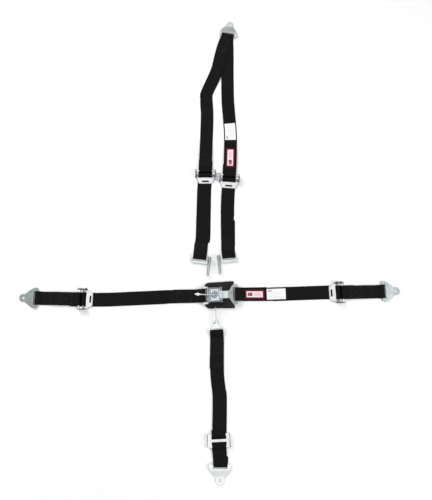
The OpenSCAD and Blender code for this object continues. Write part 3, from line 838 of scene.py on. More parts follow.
leftFar = lengthOf(leftUpperRun)
leftUpperProfile = [(76, onTurned)] + roundSewingBar() + [(76, onTop)] + easeTo((77, onTop), (86, 4.4), 3)
leftUpperProfile += [(99, 4.4)] + easeTo((100, 4.4), (127, onFloor), 6) + [(leftFar - 238, onFloor)]
leftUpperProfile += easeTo((leftFar - 236, onFloor), (leftFar - 200, 2.55), 6) + [(leftFar - 26, 2.55)]
leftUpperProfile += easeTo((leftFar - 24, 2.55), (leftFar - 1, 8.2), 6)
bendAt = 345.0
foldCreases = [(bendAt, 2.4, 4.0, 3.0), (bendAt + 9, 0.9, 5.0, 4.0), (bendAt - 22, 0.6, 9.0, -4.0)]
leftNodes = ("shoulder_left_top_strap", "shoulder_left_upper_strap", "shoulder_left_sewn_end")
upperShoulderStrap("Left", leftUpperRun, leftUpperProfile, leftNodes, 8, foldCreases)
rightFar = lengthOf(rightUpperRun)
rightUpperProfile = [(148, onFloor), (128, onFloor)] + easeTo((127, onFloor), (101, onTurned), 6)
rightUpperProfile += roundSewingBar() + [(98, onTop)] + easeTo((100, onTop), (127, onFirst), 6)
rightUpperProfile += [(148, onFirst)] + easeTo((149, onFirst), (160, onFloor), 4) + [(rightFar - 32, onFloor)]
rightUpperProfile += easeTo((rightFar - 30, onFloor), (rightFar - 1, 10.3), 7) + overPlateBar(rightFar)
rightUpperProfile += [(rightFar - 8, 0.9)]
rightNodes = ("shoulder_right_upper_strap", "shoulder_right_sewn_end")
upperShoulderStrap("Right", rightUpperRun, rightUpperProfile, rightNodes, 9)
stitchLines("shoulderLeftStitching", leftUpperRun, boxAndCross(30, 70), heightOver(leftUpperProfile),
            blackThread, "shoulder_yoke")
stitchLines("shoulderTopStitching", leftUpperRun, zigZagBars([leftFar - away for away in (46, 54, 62, 70)]),
            heightOver(leftUpperProfile), blackThread, "shoulder_yoke")


def lowerShoulderStrap(side, tip, points, body, node, seed, tailEnd):
    # from under the sewn end, round the end fitting's bar, and up to the adjuster
    run = makeRun([local(tip, 0), local(tip, 34)] + points)
    far = lengthOf(run)
    sewn = 58 if side == "Left" else 150
    profile = [(sewn, onFloor), (22, onFloor), (8, 0.9), (2, onFloor)] + underPlateBar()
    profile += easeTo((1.5, plateBar["height"] + plateBar["radius"]), (28, onFirst), 7)
    profile += [(sewn - 1, onFirst)] + easeTo((sewn + 1, onFirst), (sewn + 10, onFloor), 4)
    profile += [(tailEnd - 6, onFloor)] + easeTo((tailEnd - 5, onFloor), (tailEnd, onFirst), 4)
    profile.append((far, onFirst))
    strap = webbingStrip("shoulder%sLowerStrap" % side, run, profile, seed=seed,
                         lay=(1.5 if side == "Left" else -4.2, sewn * 1.6, 0, 1))
    finishPiece(strap, body, (node,), webbing)
    tail = webbingStrip("shoulder%sTail" % side, run, [(tailEnd - 4, onFloor), (far - 3, onFloor)],
                        seed=seed + 2, lay=(-5.2 if side == "Left" else -1.0, (far - tailEnd) * 3, 0, 1))
    finishPiece(tail, body, (), webbing)
    rows = boxAndCross(20, 52) if side == "Left" else zigZagBars([34, 42, 50, 58, 66, 74, 82])
    stitchLines("shoulder%sEndStitching" % side, run, rows, heightOver(profile), blackThread, body)


lowerShoulderStrap("Left", "leftTip", [(-70, 212), (-67, 232), (-66, 280), (-64.4, 350), (-62.6, 430),
                                       (-59.5, 484), (-56.5, 558)], "shoulder_left_strap",
                   "shoulder_left_lower_strap", 12, 72)
lowerShoulderStrap("Right", "rightTip", [(34, 212), (33.4, 240), (32.6, 300), (33, 360), (36, 420),
                                         (39, 465), (42, 538)], "shoulder_right_strap",
                   "shoulder_right_lower_strap", 14, 172)
print("shoulder webbing ready")

subRun = makeRun([local("subTip", 0), local("subTip", 40), (-9, -230), (-9, -278), (-6.5, -322), (-1, -367),
                  (0.5, -392), (0, -450), (-1.5, -541), (-1.5, -578)])
subFar = lengthOf(subRun)
subProfile = [(140, onFloor), (22, onFloor), (8, 0.9), (2, onFloor)] + underPlateBar()
subProfile += easeTo((1.5, 10.4), (28, onFirst), 7)
subProfile += [(140, onFirst)] + easeTo((142, onFirst), (154, onFloor), 4)
subProfile += [(212, onFloor)] + easeTo((214, onFloor), (230, onFirst), 5) + [(subFar, onFirst)]
strap = webbingStrip("subStrap", subRun, subProfile, 52.4, seed=17, lay=(-2.0, 140, 0, 1))
finishPiece(strap, "sub_belt", ("sub_upper_strap",), webbing)
tail = webbingStrip("subTail", subRun, [(226, onFloor), (subFar - 3, onFloor)], 52.0, shift=1.6, seed=19)
finishPiece(tail, "sub_belt", (), webbing)
stitchLines("subStitching", subRun, boxAndCross(34, 84) + zigZagBars([126, 134]), heightOver(subProfile),
            blackThread, "sub_belt")

lowerRun = makeRun([local("subSlide", -40), local("subSlide", 0), local("subSlide", 60),
                    local("subBracket", 0)])
lowerFar = lengthOf(lowerRun)
low, high = 4.3, 7.9
lowerProfile = [(2, low), (9, low)] + easeTo((9, low), (15, high), 5)
lowerProfile += [(22, high)] + easeTo((23, high), (33.5, 3.95), 6)
lowerProfile += [(46.5, 3.95)] + easeTo((46.5, 3.95), (57, high), 6)
lowerProfile += [(65, high)] + easeTo((65, high), (72, low), 5)
lowerProfile += [(94, low)] + easeTo((95, low), (108, 2.5), 4) + easeTo((108, 2.5), (lowerFar - 1, 10.3), 5)
lowerProfile += overPlateBar(lowerFar) + [(lowerFar - 14, onFloor), (98, onFloor)]
strap = webbingStrip("subLowerStrap", lowerRun, lowerProfile, 52.4, 1.1, seed=21, lay=(0, 1, 5.0, 84))
finishPiece(strap, "sub_anchor_strap", ("sub_lower_strap",), webbing)
print("sub strap webbing ready")


def rounded(corners, steps=5):
    # outline with each corner (x, y, radius) rounded off
    out = []
    count = len(corners)
    for i, (x, y, radius) in enumerate(corners):
        here = Vector((x, y))
        before, after = Vector(corners[i - 1][:2]) - here, Vector(corners[(i + 1) % count][:2]) - here
        if radius <= 0:
            out.append((x, y))
            continue
        half = before.angle(after) / 2
        reach = min(radius / math.tan(half), 0.49 * before.length, 0.49 * after.length)
        radius = reach * math.tan(half)
        a, b = before.normalized(), after.normalized()
        centre = here + (a + b).normalized() * (radius / math.sin(half))
        start, end = here + a * reach - centre, here + b * reach - centre
        swing = start.angle_signed(end) if start.length > 1e-6 and end.length > 1e-6 else 0
        for k in range(steps + 1):
            c, s = math.cos(-swing * k / steps), math.sin(-swing * k / steps)
            out.append((centre.x + start.x * c - start.y * s, centre.y + start.x * s + start.y * c))
    return out


def circleOutline(x, y, radius, steps=32):
    turns = [2 * math.pi * k / steps for k in range(steps)]
    return [(x + radius * math.cos(a), y + radius * math.sin(a)) for a in turns]


def slotOutline(x0, x1, y0, y1, radius):
    return rounded([(x0, y0, radius), (x1, y0, radius), (x1, y1, radius), (x0, y1, radius)])


def fingerSlot(x0, x1, y, radius=2.6):
    # a long slot with round ends about (x0, y) and (x1, y)
    def arc(x, start):
        turns = [math.radians(start + 20 * k) for k in range(10)]
        return [(x + radius * math.cos(a), y + radius * math.sin(a)) for a in turns]

    return arc(x0, 90) + arc(x1, 270)


def bothSides(half):
    # closes a half outline (y above 0) with its mirror image
    return half + [(x, -y) for x, y in half[::-1]]


def stampedPlate(name, outline, holes, thick, edge=0.4, cuts=(), bend=None, matrix=None):
    # a plate cut from sheet with softened edges, then folded; cuts are (axis, where) lines the folds need
    curve = bpy.data.curves.new(name, "CURVE")
    curve.dimensions = "2D"
    curve.fill_mode = "BOTH"
    curve.extrude = (thick / 2 - edge) * mm
    curve.bevel_depth = edge * mm
    curve.bevel_resolution = 2
    curve.offset = -edge * mm
    for loop in [outline] + list(holes):
        spline = curve.splines.new("POLY")
        spline.points.add(len(loop) - 1)
        for point, (x, y) in zip(spline.points, loop):
            point.co = (x * mm, y * mm, 0, 1)
        spline.use_cyclic_u = True
    mesh = meshFromCurve(name, curve)
    bm = bmesh.new()
    bm.from_mesh(mesh)
    bmesh.ops.remove_doubles(bm, verts=bm.verts, dist=0.00001)
    for axis, where in cuts:
        normal = Vector((1, 0, 0)) if axis == "x" else Vector((0, 1, 0))
        bmesh.ops.bisect_plane(bm, geom=bm.verts[:] + bm.edges[:] + bm.faces[:], dist=0.000002,
                               plane_co=normal * where * mm, plane_no=normal)
    bmesh.ops.dissolve_degenerate(bm, dist=0.000002, edges=bm.edges)
    # the bevel faces, where the metal paints shade on the rims
    edgeLayer = bm.faces.layers.float.new("edge")
    for face in bm.faces:
        face[edgeLayer] = 0.0 if abs(face.normal.z) > 0.97 else 1.0
    if bend:
        for vert in bm.verts:
            x, y, z = bend(vert.co.x / mm, vert.co.y / mm, vert.co.z / mm)
            vert.co = Vector((x, y, z)) * mm
    if matrix:
        bmesh.ops.transform(bm, matrix=matrix, verts=bm.verts)
    bmesh.ops.recalc_face_normals(bm, faces=bm.faces)
    bm.to_mesh(mesh)
    bm.free()
    mesh.materials.clear()
    return bpy.data.objects.new(name, mesh)


def foldUp(axisValue, start, radius, angle):
    # arc length past a fold line to (along, up) for a sheet whose middle has this fold radius
    s = axisValue - start
    full = radius * angle
    if s <= 0:
        return axisValue, 0.0, 0.0
    if s < full:
        a = s / radius
        return start + radius * math.sin(a), radius * (1 - math.cos(a)), a
    return (start + radius * math.sin(angle) + (s - full) * math.cos(angle),
            radius * (1 - math.cos(angle)) + (s - full) * math.sin(angle), angle)


def weighted(piece):
    modifier = piece.modifiers.new("shading", "WEIGHTED_NORMAL")
    modifier.keep_sharp = True
    modifier.weight = 80
    return piece


def revolved(name, profile, matrix, steps=40):
    # profile of (along, radius) turned about the local X axis
    bm = bmesh.new()
    rings = []
    for x, radius in profile:
        rings.append([bm.verts.new((x * mm, radius * mm * math.cos(2 * math.pi * k / steps),
                                    radius * mm * math.sin(2 * math.pi * k / steps))) for k in range(steps)])
    skinRings(bm, rings)
    bmesh.ops.transform(bm, matrix=matrix, verts=bm.verts)
    bmesh.ops.recalc_face_normals(bm, faces=bm.faces)
    return pieceFrom(name, bm)


def roundedBox(name, low, high, bevel, matrix, segments=3):
    bm = bmesh.new()
    bmesh.ops.create_cube(bm, size=1)
    centre, size = (Vector(low) + Vector(high)) / 2, Vector(high) - Vector(low)
    for vert in bm.verts:
        vert.co = (Vector((vert.co.x * size.x, vert.co.y * size.y, vert.co.z * size.z)) + centre) * mm
    bmesh.ops.bevel(bm, geom=bm.edges[:], offset=bevel * mm, segments=segments, affect="EDGES", profile=0.5)
    bmesh.ops.transform(bm, matrix=matrix, verts=bm.verts)
    return pieceFrom(name, bm)


slotHalf = 27.4  # half the length of every slot that webbing runs through
toLocalY = turned(90, "Z")


def barEnd(x0, y0, width, lobe, straight=0.0):
    # upper half of a bar end: concave flank out to a round lobe, then the straight bar edge
    half = []
    for k in range(13):
        s = k / 12
        out = straight * s + (1 - straight) * s * s * (3 - 2 * s)
        half.append((x0 + (-9 - x0) * s, y0 + (width / 2 - 1.2 - y0) * out))
    cx, cy = -1, width / 2 - lobe
    for k in range(9):
        a = math.radians(118 - 118 * k / 8)
        half.append((cx + lobe * math.cos(a), cy + lobe * math.sin(a)))
    half += [(3.3, cy - lobe * 0.9), (3.3, 0.1)]
    return half


def boltBracket(piece, place, body, node, material):
    half = []
    for k in range(13):
        a = math.radians(180 - 9.5 * k)
        half.append((-51 + 15.5 * math.cos(a), 15.5 * math.sin(a)))
    half += [point for point in barEnd(-49, 14.6, 81, 7.5, 0.45) if point[0] > -43]
    outline = bothSides(half[1:]) + [(-66.5, 0)]

    def drop(x, y, z):
        # the sheet steps down from the bar to the bolt eye
        t = min(max((-x - 11) / 31, 0), 1)
        return x, y, z + 5.6 - 4.1 * (0.6 * t + 0.4 * t * t * (3 - 2 * t))

    plate = stampedPlate(piece, outline, [slotOutline(-9.4, -3.3, -slotHalf, slotHalf, 2),
                                          circleOutline(-51, 0, 6)], 3.0, 0.45,
                         [("x", -11 - k * 3.1) for k in range(11)], drop, placed(place))
    return weighted(finishPiece(plate, body, (node,), material, 40))


boltBracket("lapLeftBracket", "lapLeftBracket", "lap_left_end", "lap_left_bracket", greyZinc)
boltBracket("lapRightBracket", "lapRightBracket", "lap_right_end", "lap_right_bracket", satinZinc)
boltBracket("shoulderBracket", "shoulderBracket", "shoulder_end", "shoulder_bracket", paintedLightZinc)
boltBracket("subBracket", "subBracket", "sub_end", "sub_bracket", paintedLightZinc)
print("brackets ready")


def adjuster(prefix, place, body, node, barBody, barNode, wrapNode, seed):
    where = placed(place)
    fold, start, radius = math.radians(68), 33.6, 2.2
    half = [(29, 0.1), (29, 22), (28.2, 25.6), (24, 28.6), (14, 31.5), (12.6, 33.5), (8, 34)]
    half += rounded([(8, 34, 0), (8, 51, 5), (-24, 51, 5), (-29, 46, 3), (-29, 29, 1.0), (3, 29, 2.5)])[1:]
    half.append((3, 0.1))

    def wings(x, y, z):
        side = 1 if y > 0 else -1
        along, up, turn = foldUp(abs(y), start, radius, fold)
        lip = max(0.0, x - 20) ** 2 * 0.028
        return x, side * (along - z * math.sin(turn)), 5.45 + up + z * math.cos(turn) - lip

    frameHoles = [slotOutline(-13.6, -1.4, 43.6, 48.6, 2.2), slotOutline(-13.6, -1.4, -48.6, -43.6, 2.2),
                  slotOutline(16.5, 22.5, -14, 14, 2.4)]
    cuts = [("y", side * (start + radius * fold * k / 4)) for side in (1, -1) for k in range(5)]
    cuts += [("x", 22 + 2 * k) for k in range(4)]
    plate = stampedPlate(prefix + "Frame", bothSides(half), frameHoles, 2.5, 0.4, cuts, wings, where)
    weighted(finishPiece(plate, body, (node,), brightZinc, 40))
    rear = roundedBox(prefix + "RearBar", (-27, -36.2, 7.5), (-21, 36.2, 10.5), 1.2, where)
    finishPiece(rear, body, (), brightZinc, 40)
    # knurled lock bar with plain ends
    bm = bmesh.new()
    rings, steps = [], 72
    stations = [-41.5, -41.2, -40.6, -36.4, -36.0] + [-35.6 + 0.55 * k for k in range(19)]
    stations += [-25, 25] + [25.4 + 0.55 * k for k in range(19)] + [36.0, 36.4, 40.6, 41.2, 41.5]
    for y in stations:
        end = abs(y)
        ring = []
        for k in range(steps):
            a = 2 * math.pi * k / steps
            r = 3.9
            if end > 41.3:
                r = 3.3
            elif end > 41.0:
                r = 3.75
            elif 25.2 < end < 35.9:
                r = 3.72 + 0.22 * abs(math.sin(10 * a + y * 2.4)) * abs(math.sin(10 * a - y * 2.4))
            ring.append(bm.verts.new(where @ (Vector((-6 + r * math.cos(a), y, 12 + r * math.sin(a))) * mm)))
        rings.append(ring)
    skinRings(bm, rings)
    bmesh.ops.recalc_face_normals(bm, faces=bm.faces)
    finishPiece(pieceFrom(prefix + "LockBar", bm), barBody, (barNode,), pinSteel, 50)
    # webbing turned over the lock bar
    run = makeRun([local(place, -20), local(place, -6), local(place, 12)])
    profile = [(14 - 4.9, 3.9), (14 - 4.9, 7)] + turnRound(14, 12, 4.75, 180, 0, 12)
    profile += [(14 + 4.85, 7), (14 + 4.9, 3.9)]
    wrap = webbingStrip(prefix + "Wrap", run, profile, 52.4, 1.3, seed=seed)
    finishPiece(wrap, barBody, (wrapNode,), webbing)


adjuster("lapLeftAdjuster", "lapLeftAdjuster", "lap_left_adjuster", "lap_left_adjuster_frame",
         "lap_left_lock_bar", "lap_left_adjuster_bar", "lap_left_bar_wrap", 31)
adjuster("lapRightAdjuster", "lapRightAdjuster", "lap_right_adjuster", "lap_right_adjuster_frame",
         "lap_right_lock_bar", "lap_right_adjuster_bar", "lap_right_bar_wrap", 33)
adjuster("shoulderLeftAdjuster", "shoulderLeftAdjuster", "shoulder_left_adjuster",
         "shoulder_left_adjuster_frame", "shoulder_left_lock_bar", "shoulder_left_adjuster_bar",
         "shoulder_left_bar_wrap", 35)
adjuster("shoulderRightAdjuster", "shoulderRightAdjuster", "shoulder_right_adjuster",
         "shoulder_right_adjuster_frame", "shoulder_right_lock_bar", "shoulder_right_adjuster_bar",
         "shoulder_right_bar_wrap", 37)
print("adjusters ready")


def shoulderFitting(prefix, place, side, body, node):
    # a webbing bar whose inner end is folded up into a slotted finger
    where = placed(place, 5.6) @ turned(-3.2, "Y")
    foldAngle, radius, start = math.radians(45), 2.4, 30.2
    outline = rounded([(3.3, -33, 3), (3.3, 30, 0), (9, 33.5, 2), (9, 45.5, 4), (5, 50.6, 4),
                       (-66, 46.4, 5.0), (-71, 41.3, 4.9), (-66, 36.2, 5.0), (-24, 33.4, 6), (-22, 30, 2.5),
                       (-22, -33, 3)])
    if side < 0:
        outline = [(x, -y) for x, y in outline]

    def fold(x, y, z):
        along, up, turn = foldUp(side * y, start, radius, foldAngle)
        return x, side * (along - z * math.sin(turn)), up + z * math.cos(turn)

    slot = [(x, y * side) for x, y in fingerSlot(-59, -9, 41.3)]
    cuts = [("y", side * (start + radius * foldAngle * k / 4)) for k in range(5)]
    plate = stampedPlate(prefix, outline, [slotOutline(-12, -3.3, -slotHalf, slotHalf, 2), slot], 3.0, 0.45,
                         cuts, fold, where)
    weighted(finishPiece(plate, body, (node,), paleZinc, 40))


shoulderFitting("shoulderLeftFitting", "leftTip", -1, "shoulder_left_tip", "shoulder_left_end_fitting")
shoulderFitting("shoulderRightFitting", "rightTip", 1, "shoulder_right_tip", "shoulder_right_end_fitting")


def subFitting():
    # a bar plate whose neck turns on edge into a slotted finger
    where = placed("subTip", 5.6) @ turned(8.8, "Y")
    half = []
    for k in range(9):
        s = k / 8
        half.append((-25 + 16 * s, 9.4 + 19.5 * s ** 2.6))
    half += [(-8, 30.6), (-5.6, 32.4), (-2, 33), (2.2, 32.2), (3.3, 30), (3.3, 0.1)]
    front = [(-94, 0.1)] + [(-94 + 5.6 * (1 - math.cos(math.radians(a))), 8 * math.sin(math.radians(a)))
                            for a in (20, 40, 60, 80, 90)] + [(-50, 8), (-44, 8), (-38, 8.8), (-31, 9.4)]

    def twist(x, y, z):
        t = min(max((-x - 28) / 14, 0), 1)
        a = -math.radians(90) * t * t * (3 - 2 * t)
        return x, y * math.cos(a) - z * math.sin(a), y * math.sin(a) + z * math.cos(a)

    slots = [slotOutline(-12, -3.3, -slotHalf, slotHalf, 2), fingerSlot(-88, -48, 0)]
    cuts = [("x", -28 - 0.7 * k) for k in range(21)] + [("y", -4.0), ("y", 0.0), ("y", 4.0)]
    plate = stampedPlate("subFitting", bothSides(front + half), slots, 3.0, 0.45, cuts, twist, where)
    weighted(finishPiece(plate, "sub_tip", ("sub_end_fitting",), paintedLightZinc, 50))


subFitting()


def subSlide():
    where = placed("subSlide", 5.45)

    def rims(x, y, z):
        along, up, turn = foldUp(abs(y), 38.5, 1.9, math.radians(80))
        side = 1 if y > 0 else -1
        return x, side * (along - z * math.sin(turn)), up + z * math.cos(turn)

    outline = rounded([(25, -45.5, 3), (25, 45.5, 3), (-25, 45.5, 3), (-25, -45.5, 3)])
    slots = [slotOutline(-17, -5, -slotHalf, slotHalf, 2), slotOutline(5, 17, -slotHalf, slotHalf, 2)]
    cuts = [("y", side * (38.5 + 1.9 * 1.4 * k / 4)) for side in (1, -1) for k in range(5)]
    plate = stampedPlate("subSlide", outline, slots, 2.5, 0.4, cuts, rims, where)
    weighted(finishPiece(plate, "sub_anchor_strap", ("sub_slide",), brightZinc, 40))


subSlide()
print("shoulder and sub fittings ready")

latchMatrix = placed("latch")


def latchBase():
    base = [(-x - 59, y) for x, y in barEnd(-26, 26.5, 71, 5.5)]
    outline = base[::-1] + [(-24, 27.6), (3, 27.6), (4, 26.6), (4, 0.1)]
    plate = stampedPlate("latchBasePlate", bothSides(outline),
                         [slotOutline(-55.7, -47, -slotHalf, slotHalf, 2)], 3.0, 0.45,
                         matrix=latchMatrix @ moved(0, 0, 11.5))
    weighted(finishPiece(plate, "buckle", ("latch_base",), blueZinc, 40))
    cheek = rounded([(-46, 13.2, 0), (14, 13.2, 0), (14, 24, 3), (11, 29.4, 3), (-30, 29.4, 6), (-46, 25, 3)])
    for name, y in (("latchCheekLeft", -26.75), ("latchCheekRight", 26.75)):
        side = stampedPlate(name, cheek, [circleOutline(8, 24, 3.0)], 2.5, 0.35, (),
                            lambda x, up, z, y=y: (x, y + z, up), latchMatrix)
        weighted(finishPiece(side, "buckle", (), blueZinc, 40))
    for x, y in ((-36, 19), (-26, 19), (-36, -19), (-26, -19)):
        head = [(0, 2.6), (0.5, 2.6), (0.95, 2.1), (1.25, 1.2), (1.35, 0.2)]
        rivet = revolved("latchRivet%d%s" % (-x, "b" if y < 0 else "a"), head,
                         latchMatrix @ moved(x, y, 13) @ turned(-90, "Y"))
        finishPiece(rivet, "buckle", ("latch_rivets",) if (x, y) == (-36, 19) else (), pinSteel, 40)
    hingePin = [(-30.2, 0.3), (-30.2, 3.6), (-29.8, 4.2), (-28.4, 4.2), (-28.2, 3.0), (28.2, 3.0),
                (28.4, 4.2), (29.8, 4.2), (30.2, 3.6), (30.2, 0.3)]
    catchPin = [(-29.2, 0.2), (-29.2, 1.7), (-28.9, 2.0), (28.9, 2.0), (29.2, 1.7), (29.2, 0.2)]
    for name, x, z, profile, node in (("latchHingePin", 8, 24, hingePin, "hinge_pin"),
                                      ("latchCatchPin", -42, 21, catchPin, "catch_pin")):
        pin = revolved(name, profile, latchMatrix @ moved(x, 0, z) @ toLocalY, 32)
        finishPiece(pin, "buckle", (node,), pinSteel, 40)


latchBase()


def leverSprings():
    # two torsion springs wound round the hinge pin, each with a leg down to the base
    for name, side in (("leverSpringLeft", -1), ("leverSpringRight", 1)):
        curve = bpy.data.curves.new(name, "CURVE")
        curve.dimensions = "3D"
        curve.bevel_depth = 0.72 * mm
        curve.bevel_resolution = 3
        spline = curve.splines.new("POLY")
        points = [(-9.0, side * 16.0, 16.0)]
        for k in range(96):
            a = math.radians(200 + k * 15)
            points.append((8 + 4.0 * math.cos(a), side * (15.9 + 7.2 * k / 95), 24 + 4.0 * math.sin(a)))
        points.append((-4.0, side * 23.3, 16.0))
        spline.points.add(len(points) - 1)
        for point, (x, y, z) in zip(spline.points, points):
            point.co = (*(latchMatrix @ (Vector((x, y, z)) * mm)), 1)
        mesh = meshFromCurve(name, curve)
        mesh.materials.clear()
        finishPiece(bpy.data.objects.new(name, mesh), "buckle", ("lever_springs",) if side < 0 else (),
                    pinSteel, 60)


leverSprings()

coverLook = {"length": (-37.0, 2.0), "half": 24.5, "top": 28.0, "thick": 2.3, "crown": 0.8, "lip": 8.2,
             "curl": 3.2, "panel": (14.5, 15.5), "rings": (4.4, 11.0)}


def latchCover():
    # pressed lever cover: crowned top, rolled edges, a raised panel with a plain spoked ring sunk into it,
    # and a lip that curls down at the front
    x0, x1 = coverLook["length"]
    half, top, curl = coverLook["half"], coverLook["top"], coverLook["curl"]
    panelX, panelY = coverLook["panel"]
    innerRing, outerRing = coverLook["rings"]
    bm = bmesh.new()
    columns, rows = 96, 108
    lipRun = coverLook["lip"]
    grid, depth = [], []
    for i in range(columns + 1):
        s = i / columns * (x1 - x0 + lipRun)
        row = []
        for k in range(rows + 1):
            v = -1 + 2 * k / rows
            y = v * half
            along = s - lipRun
            if along < 0:
                turn = min(-along / curl, math.radians(86))
                x = x0 + curl - curl * math.sin(turn)
                drop = curl * (1 - math.cos(turn)) + max(0.0, -along - curl * math.radians(86))
            else:
                x, drop = x0 + curl + along * (x1 - x0 - curl) / (x1 - x0), 0.0
            side = max(0.0, (abs(v) - 0.90) / 0.10)
            crown = -coverLook["crown"] * abs(v) ** 3 - 1.3 * side * side
            px, py = (x + 18.5) / panelX, y / panelY
            reach = (abs(px) ** 5 + abs(py) ** 5) ** 0.2
            panel = 0.55 * max(0.0, min(1.0, (1.0 - reach) / 0.10)) if along > 0 else 0.0
            ring = math.hypot(px * panelX, y)
            groove = max(math.exp(-((ring - outerRing) / 1.25) ** 2),
                         math.exp(-((ring - innerRing) / 1.0) ** 2))
            for spoke in range(6):
                a = math.radians(60 * spoke + 30)
                off = abs(px * panelX * math.sin(a) - y * math.cos(a))
                if px * panelX * math.cos(a) + y * math.sin(a) > 0 and innerRing < ring < outerRing:
                    groove = max(groove, math.exp(-(off / 1.0) ** 2))
            ribs = 0.0
            if abs(y) < 20:
                ribs = max(math.exp(-((x + 34.0) / 0.8) ** 2), math.exp(-((x + 1.8) / 0.8) ** 2))
            sunk = max(groove, ribs) if along > 0 else 0.0
            z = top - 0.65 + crown - drop + panel - 0.7 * sunk
            row.append(bm.verts.new(latchMatrix @ (Vector((x, y, z)) * mm)))
            depth.append(sunk)
        grid.append(row)
    for i in range(columns):
        for k in range(rows):
            bm.faces.new((grid[i][k], grid[i + 1][k], grid[i + 1][k + 1], grid[i][k + 1]))
    bmesh.ops.recalc_face_normals(bm, faces=bm.faces)
    mesh = bpy.data.meshes.new("latchCover")
    bm.to_mesh(mesh)
    bm.free()
    sunkPaint = mesh.attributes.new("edge", "FLOAT", "POINT")
    sunkPaint.data.foreach_set("value", [max(0.0, min(1.0, 1.6 * value - 0.3)) * 2.2 for value in depth])
    if mesh.polygons[len(mesh.polygons) // 2].normal.z < 0:
        mesh.flip_normals()
    cover = bpy.data.objects.new("latchCover", mesh)
    finishPiece(cover, "release_lever", ("latch_lever",), coverZinc, 0)
    cover.data.shade_smooth()
    sheetModifier = cover.modifiers.new("sheet", "SOLIDIFY")
    sheetModifier.thickness = coverLook["thick"] * mm
    sheetModifier.offset = -1
    edgeModifier = cover.modifiers.new("edges", "BEVEL")
    edgeModifier.width, edgeModifier.segments, edgeModifier.limit_method = 0.5 * mm, 2, "ANGLE"
    edgeModifier.angle_limit = math.radians(50)
    weighted(cover)
    tube = [(-15, 3.1), (-15, 4.6), (-14.6, 5.0), (14.6, 5.0), (15, 4.6), (15, 3.1)]
    barrel = revolved("latchBarrel", tube, latchMatrix @ moved(8, 0, 24) @ toLocalY, 40)
    finishPiece(barrel, "release_lever", (), blueZinc, 40)
    bridge = roundedBox("latchBridge", (1, -15, 25.4), (9, 15, 27.9), 0.8, latchMatrix)
    finishPiece(bridge, "release_lever", (), blueZinc, 40)
    tooth = roundedBox("latchTooth", (-13, -6, 14.2), (-10, 6, 26), 0.5, latchMatrix)
    finishPiece(tooth, "release_lever", (), pinSteel, 40)


latchCover()

handleLook = {"at": (-18, -2.2), "skew": -5}


def latchHandle():
    where = latchMatrix @ moved(handleLook["at"][0], handleLook["at"][1], 28)
    where = where @ turned(handleLook["skew"], "Z")
    shaft = [(-62, 0.3), (-62, 2.3), (-61.4, 2.7), (-50, 2.75), (-30, 2.6), (-12, 2.8), (-4.5, 3.3),
             (-2.6, 3.2), (-2.0, 2.4), (-2.0, 0.3)]
    rod = revolved("handleRod", shaft, where @ moved(0, 0, 3.4), 36)
    finishPiece(rod, "release_lever", ("lever_handle",), brightZinc, 35)
    foot = revolved("handleFoot", [(0.0, 4.5), (1.2, 4.5), (2.6, 4.1), (3.4, 3.4), (4.0, 2.2), (4.2, 0.3)],
                    where @ moved(-6, 0, 0) @ turned(-90, "Y"), 36)
    finishPiece(foot, "release_lever", (), brightZinc, 35)
    arrow = rounded([(-58.5, -2.8, 0.5), (-62, -5.8, 1.0), (-65.5, -5.8, 1.2), (-78, -1.2, 1.0),
                     (-78, 1.2, 1.0), (-65.5, 5.8, 1.2), (-62, 5.8, 1.0), (-58.5, 2.8, 0.5)])
    tip = stampedPlate("handleTip", arrow, [], 3.0, 0.9, matrix=where @ moved(0, 0, 3.4))
    tip.data.attributes.remove(tip.data.attributes["edge"])
    weighted(finishPiece(tip, "release_lever", (), brightZinc, 40))


latchHandle()


def linkPlate():
    half = [(x + 66, y) for x, y in barEnd(-31, 13.5, 78, 7.5)]
    outline = [(-21, 0.1), (-21, 10.5), (-18, 13.5), (34, 13.5)] + half
    windows = [slotOutline(54, 62.7, -slotHalf, slotHalf, 2), slotOutline(-16.5, -8.5, -7.5, 7.5, 1.5)]
    plate = stampedPlate("linkPlate", bothSides(outline), windows, 3.0, 0.5,
                         matrix=latchMatrix @ moved(0, 0, 15.5))
    weighted(finishPiece(plate, "link", ("link_plate",), linkZinc, 40))


linkPlate()
print("latch ready")

padLook = {"length": 116, "width": 105, "chamfer": 15, "under": 9.3, "rim": 12.4}


def fillLoop(points, longest):
    out = []
    for a, b in zip(points, points[1:] + points[:1]):
        count = max(1, math.ceil(math.dist(a, b) / longest))
        out += [(a[0] + (b[0] - a[0]) * k / count, a[1] + (b[1] - a[1]) * k / count) for k in range(count)]
    return out


